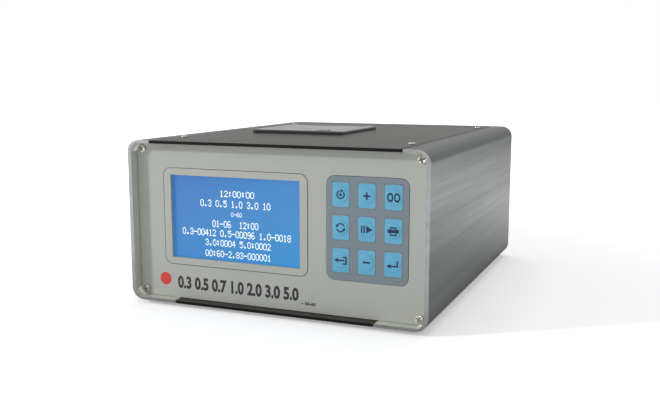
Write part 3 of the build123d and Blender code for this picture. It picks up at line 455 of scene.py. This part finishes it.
def clean_corners(shape, side):
    """Replaces the ridges outside the rounded corners by the round's own facets."""
    low, high = extent([corner.co for corner in shape.verts])
    outer = max(side * low.x, side * high.x)
    for level, way in ((high.z - CASE_ROUND, 1.0), (low.z + CASE_ROUND, -1.0)):
        ridges = {}
        for corner in shape.verts:
            out = Vector((side * corner.co.x - outer + CASE_ROUND, (corner.co.z - level) * way))
            if min(out) >= 0 and out.length - CASE_ROUND > PROUD:
                ridges.setdefault(round(corner.co.z / MM, 1), []).append(corner)
        for ridge in ridges.values():
            kept = {corner for tip in ridge for face in tip.link_faces for corner in face.verts}
            kept -= set(ridge)
            bmesh.ops.delete(shape, geom=ridge, context="VERTS")
            near, far = [sorted((corner for corner in kept if (corner.co.y < 0) == in_front),
                                key=lambda corner: corner.co.z) for in_front in (True, False)]
            for i in range(len(near) - 1):
                shape.faces.new((near[i], near[i + 1], far[i + 1], far[i]))
            print("  ridge taken off between", len(near), "and", len(far), "corners")
    bmesh.ops.recalc_face_normals(shape, faces=shape.faces)


# %% Softened solids
BEVELS = {  # width in mm
    "left_side_profile": 0.35, "right_side_profile": 0.35, "top_cover": 0.2,
    "bottom_cover": 0.2, "front_panel": 0.15, "rear_panel": 0.15, "keypad_overlay": 0.08,
    "printer_bezel": 0.25, "printer_door": 0.3, "feed_button": 0.2, "rubber_feet": 0.4,
    "inlet_nozzle": 0.25, "mains_inlet": 0.3, "switch_housing": 0.3, "power_rocker": 0.3,
    "serial_port": 0.2, "exhaust_filter": 0.3,
}
for node, width in BEVELS.items():
    shape = merged_copy(node)
    profile = node.endswith("side_profile")
    if profile:
        clean_corners(shape, 1 if node.startswith("right") else -1)
    round_edges(shape, width, only_ends=profile)
    made = even_shading(into_piece(node + "_soft", shape, node, node))
    print(node, len(made.data.polygons), "faces")

# %% [markdown]
# The covers were cut before they were anodised black, and only their faces were brushed
# afterwards. So their front and rear edges are a deeper black than the brushed faces. The side
# extrusions were brushed outside only, and inside they get a paler mill finish. That paleness is
# partly painted light, which brightens inner walls that stand in the rim's own shade. A
# second material on the faces that look the right way is enough for both.

# %% Black cover edges and bare inner walls
TIP_REACH = 113.0 * MM  # further in than this, a face of the extrusion is a flange's tip


def second_finish(node, finish, wanted):
    """Gives the faces of a softened piece that are wanted a finish of their own."""
    data = bpy.data.objects[node + "_soft"].data
    data.materials.append(finish)
    chosen = [polygon for polygon in data.polygons if wanted(polygon)]
    for polygon in chosen:
        polygon.material_index = 1
    print(node, len(chosen), "faces in", finish.name)


def cut_edge(polygon):
    """A face that looks forwards or backwards."""
    return abs(polygon.normal.y) > 0.6


def inner_wall(polygon):
    """A face along the extrusion that looks towards the case's middle, tips left out."""
    inwards = case_middle - polygon.center
    inwards.y = 0.0
    flange_tip = abs(polygon.normal.x) > 0.3 and abs(polygon.center.x) < TIP_REACH
    return abs(polygon.normal.y) < 0.5 and polygon.normal.dot(inwards) > 0 and not flange_tip


case_low, case_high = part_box("left_side_profile")
case_middle = Vector((0.0, 0.0, (case_low.z + case_high.z) / 2))
black_edge = plain_finish("black_cover_edge", (0.005, 0.005, 0.005), 0.6, 1800.0, 0.01,
                          specular=0.12)
for node in ("top_cover", "bottom_cover"):
    second_finish(node, black_edge, cut_edge)
for node in ("left_side_profile", "right_side_profile"):
    # The paler colour of the inner walls partly paints light onto walls that stand in shade.
    second_finish(node, finishes["mill_aluminium"], inner_wall)

# %% [markdown]
# ## Cross-head screws
# Pan-head screws hold the end panels, and flatter ones the covers. A cross recess is what
# makes such a small thing read as a screw, so it is real geometry: a square grid is pressed
# into a disc, the faces of the cross are extruded down into it, and the rim is drawn out,
# under and along the shank in a few steps. Each screw stops at its own turn.

# %% One screw
RECESS_LINES = (-1.0, -0.6, -0.3, -0.11, 0.11, 0.3, 0.6, 1.0)  # shares of the radius
ARM, REACH = 0.13, 0.6  # half the cross's stroke and its length, shares of the radius
HEAD_DOME = 0.32  # how far the crown falls towards the rim, share of the height
TAPER = 0.86  # of the recess towards its foot
SINK, ENDS_RISE = 0.85, 0.45  # depth of the recess, and how much less at its ends
RIM_STEPS = ((1.03, 0.5), (0.995, 0.16), (0.97, 0.0))  # scale of the rim, share of height
SHANK_RADIUS = 1.45 * MM


def corners_of(geometry):
    return [item for item in geometry if isinstance(item, bmesh.types.BMVert)]


def draw_on(shape, edges, scale, z):
    """Extrudes an outline, scales it about the Z axis and brings it to a height."""
    made = bmesh.ops.extrude_edge_only(shape, edges=edges)["geom"]
    ring = corners_of(made)
    bmesh.ops.scale(shape, vec=(*scale, 1.0), verts=ring)
    for corner in ring:
        corner.co.z = z
    return [item for item in made if isinstance(item, bmesh.types.BMEdge) and item.is_boundary]


def screw_shape(radius, height, length):
    """A cross-head screw along Z, its underhead plane at zero."""
    shape = bmesh.new()
    cells = len(RECESS_LINES) - 1
    bmesh.ops.create_grid(shape, x_segments=cells, y_segments=cells, size=1.0)
    for corner in shape.verts:
        u, v = (RECESS_LINES[round((value + 1.0) / 2.0 * cells)] for value in corner.co[:2])
        corner.co.x = radius * u * math.sqrt(1.0 - v * v / 2.0)
        corner.co.y = radius * v * math.sqrt(1.0 - u * u / 2.0)
        corner.co.z = height * (1.0 - HEAD_DOME * (u * u + v * v - u * u * v * v))
    arm, reach = ARM * radius, REACH * radius
    cross = [face for face in shape.faces
             if min(abs(value) for value in face.calc_center_median().to_2d()) < arm
             and face.calc_center_median().to_2d().length < reach]
    sunk = bmesh.ops.extrude_face_region(shape, geom=cross)["geom"]
    for corner in corners_of(sunk):
        away = corner.co.to_2d().length / reach
        corner.co.x *= TAPER
        corner.co.y *= TAPER
        corner.co.z -= height * (SINK - ENDS_RISE * min(away, 1.0))
    rim = [edge for edge in shape.edges if edge.is_boundary]
    for scale, share in RIM_STEPS:
        rim = draw_on(shape, rim, (scale, scale), height * share)
    rim = draw_on(shape, rim, (SHANK_RADIUS / radius, SHANK_RADIUS / radius), 0.0)
    rim = draw_on(shape, rim, (1.0, 1.0), -length)
    bmesh.ops.contextual_create(shape, geom=rim)
    bmesh.ops.recalc_face_normals(shape, faces=shape.faces)
    return shape


# %% All the screws
SCREWS = (("panel_cross_screws", "panel_screws", 1, 9.0 * MM),  # axis, length of the shank
          ("cover_cross_screws", "cover_screws", 2, 6.0 * MM))
FIRST_TURN, NEXT_TURN = 12.0, 37.0  # degrees, so that no two crosses stand alike


def turned(shape, matrix):
    bmesh.ops.rotate(shape, cent=(0, 0, 0), verts=shape.verts, matrix=matrix)


def islands(node):
    """Lowest and highest corners of each separate solid of a node."""
    shape = merged_copy(node)
    waiting = set(shape.verts)
    found = []
    while waiting:
        group, front = set(), {waiting.pop()}
        while front:
            group |= front
            front = {edge.other_vert(corner) for corner in front
                     for edge in corner.link_edges} - group
        waiting -= group
        found.append(extent([corner.co for corner in group]))
    shape.free()
    return sorted(found, key=lambda box: tuple(round(value, 5) for value in box[0]))


def screws(name, node, axis, length):
    """Every screw of a node in one piece; the heads point away from the case's middle."""
    whole = bmesh.new()
    low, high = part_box(node)
    outwards = Vector([1.0 if i == axis else 0.0 for i in range(3)])
    for index, (start, end) in enumerate(islands(node)):
        way = 1.0 if start[axis] + end[axis] > low[axis] + high[axis] else -1.0
        head_radius = (end - start)[(axis + 1) % 3] / 2 / RIM_STEPS[0][0]
        head_height = (end - start)[axis] - length
        foot = (start + end) / 2
        foot[axis] = (end[axis] - head_height) if way > 0 else (start[axis] + head_height)
        one = screw_shape(head_radius, head_height, length)
        stop = math.radians(NEXT_TURN * index + FIRST_TURN)
        turned(one, Matrix.Rotation(stop, 3, "Z"))
        turned(one, Vector((0, 0, 1)).rotation_difference(outwards * way).to_matrix())
        bmesh.ops.translate(one, vec=foot, verts=one.verts)
        carrier = bpy.data.meshes.new("screw")
        one.to_mesh(carrier)
        one.free()
        whole.from_mesh(carrier)
        bpy.data.meshes.remove(carrier)
    return into_piece(name, whole, node, node, smooth=35.0)


for name, node, axis, length in SCREWS:
    made = screws(name, node, axis, length)
    print(name, len(made.data.polygons), "faces")

# %% [markdown]
# ## Keys
# Each key is one printed window of the blue membrane. Under it sits a snap dome, which shows
# as a faint raised disc. The pad starts as one rounded rectangle, a circle is bridged into
# it, and the disc climbs inwards over a few loops. Outwards a narrow grey border slopes down to
# the film round the key, and the pad runs back to the flange that holds it under that film.

# %% Rounded rectangle
def rounded_rectangle(shape, width, height, corner, segments):
    """One flat face in X and Y with rounded corners."""
    bmesh.ops.create_grid(shape, x_segments=1, y_segments=1, size=0.5)
    bmesh.ops.scale(shape, vec=(width, height, 1.0), verts=shape.verts)
    bmesh.ops.bevel(shape, geom=list(shape.verts), offset=corner, offset_type="OFFSET",
                    affect="VERTICES", segments=segments, profile=0.5, material=-1)
    return list(shape.faces)


# %% One key pad
KEY_FLANGE = 0.7 * MM  # ledge that keeps a key behind the film
FLANGE_THICKNESS = 0.3 * MM
WINDOW_FILL = 0.24 * MM  # how far the pad reaches into the key's gap
PAD_CORNER = 1.5 * MM
PAD_DROP = 0.22 * MM  # the printed face, behind the solid's front
BORDER_SLOPE = 0.16 * MM
BORDER_WIDTH = (0.42 * MM, 0.7 * MM)  # grey border beside and above the blue
DOME_RADIUS = 5.8 * MM
DOME_STEPS = ((0.985, 0.12), (0.95, 0.28), (0.9, 0.34), (0.5, 0.36))  # share, height in mm


def key_pad(width, height, depth):
    """A key that faces +Z from zero, with its flange at the back."""
    shape = bmesh.new()
    blue = (width - 2 * BORDER_WIDTH[0], height - 2 * BORDER_WIDTH[1])
    face = rounded_rectangle(shape, *blue, PAD_CORNER, segments=5)
    bmesh.ops.delete(shape, geom=face, context="FACES_ONLY")
    outline = list(shape.edges)
    circle = bmesh.ops.create_circle(shape, segments=40, radius=DOME_RADIUS)["verts"]
    ring = list({edge for corner in circle for edge in corner.link_edges})
    bmesh.ops.bridge_loops(shape, edges=outline + ring)
    reached = 1.0
    for share, rise in DOME_STEPS:
        ring = draw_on(shape, ring, (share / reached, share / reached), rise * MM)
        reached = share
    bmesh.ops.contextual_create(shape, geom=ring)
    printed = set(shape.faces)
    flange_level = FLANGE_THICKNESS - depth
    wide = [size + 2 * (KEY_FLANGE - WINDOW_FILL) for size in (width, height)]
    edge = draw_on(shape, outline, (width / blue[0], height / blue[1]), -BORDER_SLOPE)
    edge = draw_on(shape, edge, (1.0, 1.0), flange_level)
    edge = draw_on(shape, edge, (wide[0] / width, wide[1] / height), flange_level)
    edge = draw_on(shape, edge, (1.0, 1.0), -depth)
    bmesh.ops.contextual_create(shape, geom=edge)
    bmesh.ops.recalc_face_normals(shape, faces=shape.faces)
    for face in shape.faces:
        face.material_index = 0 if face in printed else 1
    return shape


# %% All the keys
def onto_front(shape, x, y, z):
    """Stands a shape drawn in X and Y, facing +Z, upright with its face towards -Y."""
    turned(shape, Matrix.Rotation(math.radians(90.0), 3, "X"))
    bmesh.ops.translate(shape, vec=(x, y, z), verts=shape.verts)


key_names = sorted(name for name in frame["nodes"] if name.startswith("key_"))
for node in key_names:
    low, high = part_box(node)
    width, height = (size - 2 * KEY_FLANGE + 2 * WINDOW_FILL
                     for size in (high.x - low.x, high.z - low.z))
    shape = key_pad(width, height, high.y - low.y - PAD_DROP)
    onto_front(shape, (low.x + high.x) / 2, low.y + PAD_DROP, (low.z + high.z) / 2)
    made = even_shading(into_piece(node + "_pad", shape, node, node, smooth=60.0))
    made.data.materials.append(finishes["keypad_grey"])
print("keys:", len(key_names), "pads of", round(width / MM, 2), "x", round(height / MM, 2), "mm")

# %% [markdown]
# ## Symbols on the keys
# The keys are printed in navy with plain symbols for what they do: a turning arrow, plus and
# minus, two zeros, a cycle, a start triangle, a printer, a way out and a return arrow. All are
# put together from three strokes: a bar, an arc that is a short line spun round, and an
# arrowhead with three corners. The finished drawing is then thickened into a film of ink.

# %% Strokes
INK = 0.03 * MM  # thickness of printed ink
ARC_STEP = 15  # degrees


def settle(shape, made, u, v, turn=0.0):
    """Turns part of a drawing by degrees and brings it to (u, v), in mm."""
    bmesh.ops.rotate(shape, cent=(0, 0, 0), verts=made,
                     matrix=Matrix.Rotation(math.radians(turn), 3, "Z"))
    bmesh.ops.translate(shape, vec=(u * MM, v * MM, 0), verts=made)


def bar(shape, u, v, length, width):
    """A straight stroke about (u, v), in mm."""
    made = bmesh.ops.create_grid(shape, x_segments=1, y_segments=1, size=0.5 * MM)["verts"]
    bmesh.ops.scale(shape, vec=(length, width, 1.0), verts=made)
    settle(shape, made, u, v)


def arc(shape, u, v, radius, width, start, sweep, stretch=1.0):
    """A round stroke: a short radial line spun from start over sweep degrees."""
    before = set(shape.verts)
    ends = [shape.verts.new((value * MM, 0, 0))
            for value in (radius - width / 2, radius + width / 2)]
    line = shape.edges.new(ends)
    bmesh.ops.spin(shape, geom=[line, *ends], cent=(0, 0, 0), axis=(0, 0, 1), dvec=(0, 0, 0),
                   angle=math.radians(sweep), steps=max(6, round(sweep / ARC_STEP)),
                   use_merge=sweep == 360)
    made = [corner for corner in shape.verts if corner not in before]
    settle(shape, made, 0, 0, start)
    bmesh.ops.scale(shape, vec=(1.0, stretch, 1.0), verts=made)
    settle(shape, made, u, v)


def arrowhead(shape, u, v, size, direction):
    """A triangle about (u, v), its tip towards direction in degrees."""
    made = bmesh.ops.create_circle(shape, segments=3, radius=size * MM, cap_ends=True)["verts"]
    tip = max(made, key=lambda corner: corner.co.length)
    lead = math.degrees(math.atan2(tip.co.y, tip.co.x))
    settle(shape, made, u, v, direction - lead)


def thickened(shape):
    """Turns flat faces into a thin closed film that starts at zero and faces +Z."""
    bmesh.ops.recalc_face_normals(shape, faces=shape.faces)
    for face in shape.faces:
        if face.normal.z < 0:
            face.normal_flip()
    top = bmesh.ops.extrude_face_region(shape, geom=list(shape.faces))["geom"]
    bmesh.ops.translate(shape, vec=(0, 0, INK), verts=corners_of(top))
    bmesh.ops.recalc_face_normals(shape, faces=shape.faces)
    return shape


# %% The nine symbols
SYMBOLS = {  # strokes, all in mm about the middle of the key
    "reset": ((arc, 0, 0, 2.3, 0.9, 110, 290), (arrowhead, 0.75, 2.35, 1.35, 0),
              (arc, 0, 0, 0.45, 0.9, 0, 360)),
    "plus": ((bar, 0, 0, 4.6, 1.1), (bar, 0, -1.425, 1.1, 1.75), (bar, 0, 1.425, 1.1, 1.75)),
    "clear": ((arc, -2.1, 0, 1.5, 0.85, 0, 360, 1.45), (arc, 2.1, 0, 1.5, 0.85, 0, 360, 1.45)),
    "cycle": ((arc, 0, 0, 2.5, 0.85, 20, 125), (arrowhead, -2.31796, 0.936516, 1.25, 248),
              (arc, 0, 0, 2.5, 0.85, 200, 125), (arrowhead, 2.31796, -0.936516, 1.25, 68)),
    "sample": ((arrowhead, 1.1, 0, 2.7, 0), (bar, -1.5, 0, 0.9, 4.6), (bar, -3.1, 0, 0.9, 4.6)),
    "print": ((bar, 0, 0.1, 7.0, 2.2), (bar, 0, 2.15, 4.2, 0.9), (bar, 0, -2.25, 4.2, 0.8),
              (bar, -1.75, -1.45, 0.7, 0.7), (bar, -1.75, 1.45, 0.7, 0.4),
              (bar, 1.75, -1.45, 0.7, 0.7), (bar, 1.75, 1.45, 0.7, 0.4)),
    "exit": ((bar, 0.6, 0, 4.0, 0.95), (arrowhead, -2.4, 0, 1.7, 180), (bar, 3.5, 0, 0.9, 5.0),
             (bar, 2.2, -2.1, 1.7, 0.8), (bar, 2.2, 2.1, 1.7, 0.8)),
    "minus": ((bar, 0, 0, 4.6, 1.1),),
    "enter": ((bar, 0.9, -0.9, 4.6, 0.95), (arrowhead, -2.3, -0.9, 1.7, 180),
              (bar, 2.72, 1.0, 0.95, 2.85)),
}
SYMBOL_SCALE = 1.22
SYMBOL_LEVEL = (DOME_STEPS[-1][1] + 0.002) * MM - PAD_DROP
navy_ink = plain_finish("navy_ink", (0.005, 0.025, 0.07), 0.45, 3000.0, 0.004, drift=0.05,
                        specular=0.3)
for symbol, strokes in SYMBOLS.items():
    node = "key_" + symbol
    low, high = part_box(node)
    shape = bmesh.new()
    for stroke, *numbers in strokes:
        stroke(shape, *numbers)
    bmesh.ops.scale(shape, vec=(SYMBOL_SCALE, SYMBOL_SCALE, 1.0), verts=shape.verts)
    onto_front(thickened(shape), (low.x + high.x) / 2, low.y - SYMBOL_LEVEL,
               (low.z + high.z) / 2)
    into_piece(symbol + "_symbol", shape, node, finish=navy_ink)
print("symbols:", len(SYMBOLS))

# %% [markdown]
# ## Readings on the display
# The display shows rows of white dot-matrix numerals: the time, the particle sizes, a count
# for each size and the flow. A real module lights square dots, so each numeral is set from its
# pattern of five by seven dots. Dots that touch in a row are drawn as one strip, which keeps
# the mesh light. All strips are thin closed blocks that lie on the glass and glow.

# %% Dot patterns
DOT_COLUMNS, DOT_ROWS = 5, 7
DOT_PATTERNS = {  # a number for each row, its five bits the dots from left to right
    "0": (14, 17, 17, 17, 17, 17, 14), "1": (4, 12, 4, 4, 4, 4, 14),
    "2": (14, 17, 1, 2, 4, 8, 31), "3": (14, 17, 1, 6, 1, 17, 14),
    "4": (2, 6, 10, 18, 31, 2, 2), "5": (31, 16, 30, 1, 1, 17, 14),
    "6": (14, 16, 16, 30, 17, 17, 14), "7": (31, 1, 2, 2, 4, 4, 4),
    "8": (14, 17, 17, 14, 17, 17, 14), "9": (14, 17, 17, 15, 1, 1, 14),
    ":": (0, 12, 12, 0, 12, 12, 0), ".": (0, 0, 0, 0, 0, 12, 12), "-": (0, 0, 0, 31, 0, 0, 0),
    " ": (0, 0, 0, 0, 0, 0, 0),
}


def strips(pattern):
    """Each run of lit dots in a pattern: row, first column, number of dots."""
    for row, bits in enumerate(pattern):
        for run in re.finditer("1+", f"{bits:0{DOT_COLUMNS}b}"):
            yield row, run.start(), len(run.group())


print("dots in an eight:", sum(length for row, column, length in strips(DOT_PATTERNS["8"])))

# %% Rows of readings
READINGS = (  # text, left and right end, level of its middle, height: mm in the window
    ("12:00:00", 42.7, 73.4, 53.3, 5.0), ("0.3 0.5 1.0 3.0 10", 25.1, 87.2, 45.3, 5.4),
    ("0-60", 52.5, 62.3, 37.3, 3.3), ("01-06  12:00", 35.6, 76.6, 29.2, 5.4),
    ("0.3-00412 0.5-00096 1.0-0018", 8.1, 104.4, 21.7, 5.4),
    ("3.0:0004 5.0:0002", 28.9, 87.1, 13.9, 5.2), ("00:60-2.83-000001", 28.7, 87.3, 5.2, 5.2),
)
GLASS_OVERLAP = 3.0 * MM  # glass that lies behind the panel, each side of the window
NUMERAL_SHARE = 0.9  # of a character's pitch; the rest is the space after it
DOT_GAP = 0.12  # between strips, in dots
shape = bmesh.new()
for text, start, end, middle, tall in READINGS:
    pitch = (end - start) / len(text)
    dot_wide, dot_tall = pitch * NUMERAL_SHARE / DOT_COLUMNS, tall / DOT_ROWS
    for index, character in enumerate(text):
        for row, column, length in strips(DOT_PATTERNS[character]):
            block = bmesh.ops.create_cube(shape, size=1.0)["verts"]
            bmesh.ops.scale(shape, verts=block, vec=((length - DOT_GAP) * dot_wide * MM,
                                                     (1 - DOT_GAP) * dot_tall * MM, INK))
            across = start + index * pitch + (column + length / 2) * dot_wide
            up = middle + (DOT_ROWS / 2 - row - 0.5) * dot_tall
            bmesh.ops.translate(shape, verts=block, vec=(across * MM, up * MM, INK / 2))
onto_front(shape, glass_low.x + GLASS_OVERLAP, glass_low.y, glass_low.z + GLASS_OVERLAP)

# %% Their light
lit_dots, tree, shader = new_finish("lit_dots")
shimmer = place(tree, handling, Scale=60.0, Amount=0.25)["Shade"]
dot_light = add(tree, "CombineColor", _0=maths(tree, "MULTIPLY", shimmer, 0.86),
                _1=maths(tree, "MULTIPLY", shimmer, 0.93), _2=shimmer).outputs[0]
feed(tree, shader, Emission_Color=dot_light, Emission_Strength=0.6,
     Base_Color=(0.8, 0.85, 0.9, 1.0), Roughness=0.3)
made = into_piece("display_readings", shape, "lcd_glass", finish=lit_dots)
print("readings:", len(made.data.polygons), "faces")

# %% [markdown]
# ## Print on the front
# Silk-screened ink is a film a few hundredths of a millimetre thick. The surround of the
# display has a fine dark outline, which is the rim left when a rounded face is inset. The
# numerals are Blender's own font, narrowed, turned into a mesh before they are placed, and
# stand for the particle sizes that the instrument counts. A plain red spot sits beside them.

# %% Outline of the display surround
OUTLINE_WIDTH = 0.5 * MM
SURROUND_CORNER = 6.5 * MM
panel_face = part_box("front_panel")[0].y
film_low, film_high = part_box("window_surround")


def ink(name, colour, roughness=0.5):
    return plain_finish(name, colour, roughness, 2500.0, 0.003, drift=0.05)


def front_ink(name, shape, x, z, level, finish):
    """A printed shape on the front, thickened and stood on the surface at this level."""
    onto_front(thickened(shape), x, level, z)
    made = into_piece(name, shape, "front_panel", finish=finish)
    print(name, len(made.data.polygons), "faces,", round(made.dimensions.x / MM, 1), "mm long")


shape = bmesh.new()
sheet = rounded_rectangle(shape, film_high.x - film_low.x, film_high.z - film_low.z,
                          SURROUND_CORNER, segments=10)
bmesh.ops.inset_region(shape, faces=sheet, thickness=OUTLINE_WIDTH, use_even_offset=True,
                       use_boundary=True)
bmesh.ops.delete(shape, geom=sheet, context="FACES")
front_ink("surround_outline", shape, (film_low.x + film_high.x) / 2,
          (film_low.z + film_high.z) / 2, film_low.y - 0.002 * MM,
          ink("outline_ink", (0.085, 0.09, 0.08)))

# %% Numerals and marks
def numerals(text, length, height, weight):
    """Text as a flat mesh of exactly this length and height, its lower left at zero."""
    curve = bpy.data.curves.new("numerals", "FONT")
    curve.body = text
    curve.offset = weight
    curve.resolution_u = 4
    drawn = bpy.data.objects.new("numerals", curve)
    scene.collection.objects.link(drawn)
    bpy.context.view_layer.update()
    data = bpy.data.meshes.new_from_object(
        drawn.evaluated_get(bpy.context.evaluated_depsgraph_get()))
    shape = bmesh.new()
    shape.from_mesh(data)
    bpy.data.objects.remove(drawn)
    bpy.data.curves.remove(curve)
    bpy.data.meshes.remove(data)
    bmesh.ops.remove_doubles(shape, verts=shape.verts, dist=1e-5)
    low, high = extent([corner.co for corner in shape.verts])
    bmesh.ops.translate(shape, vec=-low, verts=shape.verts)
    bmesh.ops.scale(shape, verts=shape.verts,
                    vec=(length / (high.x - low.x), height / (high.y - low.y), 1.0))
    return shape


PRINT = (  # name, text, left, foot, length and height in mm, weight of the strokes
    ("size_numerals", "0.3 0.5 0.7 1.0 2.0 3.0 5.0", 38.5, 10.4, 107.4, 10.5, 0.042),
    ("supply_marks", "~ 50-60", 147.6, 8.0, 12.4, 2.7, 0.045),
)
SPOT_X, SPOT_Z, SPOT_RADIUS = 27.1 * MM, 17.4 * MM, 5.2 * MM
print_ink = ink("print_ink", (0.012, 0.012, 0.013))
for name, text, left, foot, length, height, weight in PRINT:
    front_ink(name, numerals(text, length * MM, height * MM, weight), case_low.x + left * MM,
              case_low.z + foot * MM, panel_face, print_ink)
shape = bmesh.new()
bmesh.ops.create_circle(shape, segments=64, radius=SPOT_RADIUS, cap_ends=True)
front_ink("red_spot", shape, case_low.x + SPOT_X, case_low.z + SPOT_Z, panel_face,
          ink("spot_ink", (0.62, 0.035, 0.02), 0.45))

# %% [markdown]
# ## Marks on the rear fittings
# Seen from behind, the serial socket shows a black insert with nine contacts in two rows, and
# the power switch carries the usual stroke and ring for on and off. The rocker's two faces are
# tilted, so each mark is turned to the face that it lies on.

# %% Serial contacts
CONTACT_PITCH, ROW_OFFSET, CONTACT_RADIUS = 2.77, 1.42, 0.62  # mm
SHELL_LENGTH = 5.0 * MM
INSERT = ((-5.6, -3.3), (5.6, -3.3), (7.5, -1.4), (7.5, 3.3), (-7.5, 3.3), (-7.5, -1.4))
port_low, port_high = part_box("serial_port")


def port_piece(name, shape, level, finish):
    """A flat drawing, thickened and turned to the back, a little out from the shell's end."""
    onto_front(thickened(shape), 0, 0, 0)
    turned(shape, Matrix.Rotation(math.radians(180.0), 3, "Z"))
    bmesh.ops.translate(shape, verts=shape.verts, vec=(
        (port_low.x + port_high.x) / 2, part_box("rear_panel")[1].y + SHELL_LENGTH + level,
        (port_low.z + port_high.z) / 2))
    made = into_piece(name, shape, "serial_port", finish=finishes[finish])
    print(name, len(made.data.polygons), "faces")


shape = bmesh.new()
shape.faces.new([shape.verts.new((u * MM, v * MM, 0)) for u, v in INSERT])
port_piece("serial_insert", shape, 0.0, "black_plastic")
shape = bmesh.new()
for count, v in ((5, ROW_OFFSET), (4, -ROW_OFFSET)):
    for i in range(count):
        made = bmesh.ops.create_circle(shape, segments=16, radius=CONTACT_RADIUS * MM,
                                       cap_ends=True)["verts"]
        settle(shape, made, (i - (count - 1) / 2) * CONTACT_PITCH, v)
port_piece("serial_contacts", shape, INK, "brass")

# %% On and off
MARKS = {"off_mark": (arc, 0, 0, 1.5, 0.55, 0, 360), "on_mark": (bar, 0, 0, 0.55, 3.2)}
mark_ink = ink("mark_ink", (0.75, 0.75, 0.73))
backs = [polygon for polygon in bpy.data.objects["power_rocker_soft"].data.polygons
         if polygon.normal.y > 0.8]
widest = sorted(backs, key=lambda polygon: polygon.area)[-2:]
lower_then_upper = sorted(widest, key=lambda polygon: polygon.center.z)
for (name, (stroke, *numbers)), polygon in zip(MARKS.items(), lower_then_upper):
    shape = bmesh.new()
    stroke(shape, *numbers)
    normal = polygon.normal.copy()
    across = Vector((-1.0, 0.0, 0.0))
    turned(thickened(shape), Matrix((across, normal.cross(across), normal)).transposed())
    bmesh.ops.translate(shape, verts=shape.verts, vec=polygon.center)
    into_piece(name, shape, "power_rocker", finish=mark_ink)
print("marks on the rocker:", len(MARKS))

# %% [markdown]
# ## Floor
# The instrument stands on a plain pale floor, which shows as white to the camera but lights the
# object only softly. Further out the floor glows towards white, so that it has no horizon. In
# the metal a lit ring of floor round the object is mirrored, which is what brightens the lower
# half of the brushed sides.

# %% Floor
WHITE = (1.0, 1.0, 1.0, 1.0)
FLOOR_SIZE = 6.0
NEAR_GLOW = 0.35  # what the camera sees of the floor's own light beside the object
RING_DIM, RING_BRIGHT, RING_FAR = 0.03, 1.5, 0.25  # what the metal mirrors, going outwards
pale_floor, tree, shader = new_finish("pale_floor")
paths = add(tree, "LightPath").outputs
distance = add(tree, "VectorMath", {"operation": "LENGTH"}, _0=where(tree)).outputs["Value"]
glow = ramp(tree, distance, 0.3, 1.0, NEAR_GLOW, 1.0)
ring = maths(tree, "MULTIPLY", ramp(tree, distance, 0.2, 0.55, RING_DIM, RING_BRIGHT),
             ramp(tree, distance, 0.8, 1.5, 1.0, RING_FAR))
seen = maths(tree, "MULTIPLY", paths["Is Camera Ray"], glow)
mirrored = maths(tree, "MULTIPLY", paths["Is Glossy Ray"], ring)
feed(tree, shader, Base_Color=(0.88, 0.88, 0.88, 1.0), Roughness=0.9,
     Specular_IOR_Level=0.0, Emission_Color=WHITE,
     Emission_Strength=maths(tree, "ADD", seen, mirrored))
shape = bmesh.new()
bmesh.ops.create_grid(shape, x_segments=1, y_segments=1, size=FLOOR_SIZE)
floor_data = bpy.data.meshes.new("floor")
shape.to_mesh(floor_data)
shape.free()
floor = bpy.data.objects.new("floor", floor_data)
floor.data.materials.append(pale_floor)
scene.collection.objects.link(floor)
print("floor", 2 * FLOOR_SIZE, "m across")

# %% [markdown]
# ## Light
# The world shows as white to the camera and lights the object only softly. In reflections the
# studio's far wall is darker than its ceiling, which is what gives the brushed metal its
# gradients. The main lamp stands high on the left, so that the rim throws a narrow shade on the
# recessed front; one lamp over the top and a dim one behind on the right fill the rest.

# %% World
DIM_BEHIND = 0.72  # the studio's far wall in reflections
world = bpy.data.worlds.new("studio")
scene.world = world
world.use_nodes = True
sky = world.node_tree
paths = add(sky, "LightPath").outputs
shown = maths(sky, "MAXIMUM", paths["Is Camera Ray"],
              maths(sky, "MAXIMUM", paths["Is Glossy Ray"], paths["Is Transmission Ray"]))
way = add(sky, "SeparateXYZ", _0=add(sky, "TexCoord").outputs["Generated"]).outputs
behind = ramp(sky, way[1], 0.0, 0.6, 1.0, DIM_BEHIND)
overhead = ramp(sky, way[2], 0.1, 0.5, DIM_BEHIND, 1.0)
reflected = maths(sky, "MAXIMUM", maths(sky, "MAXIMUM", behind, overhead),
                  paths["Is Camera Ray"])
soft_light = sky.nodes["Background"]
feed(sky, soft_light, Color=WHITE, Strength=0.52)
white_view = add(sky, "Background", Color=WHITE, Strength=reflected)
choice = add(sky, "MixShader", _0=shown, _1=soft_light.outputs[0], _2=white_view.outputs[0])
feed(sky, sky.nodes["World Output"], Surface=choice.outputs[0])
print("the world has", len(sky.nodes), "nodes")

# %% Lamps
LAMPS = (  # name, place, what it points at, size in m, power in W
    ("main_light", (-1.9, -1.5, 1.15), (0, -0.15, 0.06), 0.22, 32.5),
    ("top_light", (0.0, 0.6, 1.7), (0, 0.05, 0.1), 1.4, 7.0),
    ("side_light", (2.0, 0.5, 0.5), (0.1, 0.0, 0.06), 0.8, 1.5),
)
for name, at, towards, size, power in LAMPS:
    data = bpy.data.lights.new(name, "AREA")
    data.size = size
    data.energy = power
    lamp = bpy.data.objects.new(name, data)
    lamp.location = at
    lamp.rotation_euler = (Vector(towards) - lamp.location).to_track_quat("-Z", "Y").to_euler()
    scene.collection.objects.link(lamp)
print("lamps:", [name for name, *rest in LAMPS])

# %% [markdown]
# ## Last update
# The scene is brought up to date once more.

# %% Update the scene
bpy.context.view_layer.update()
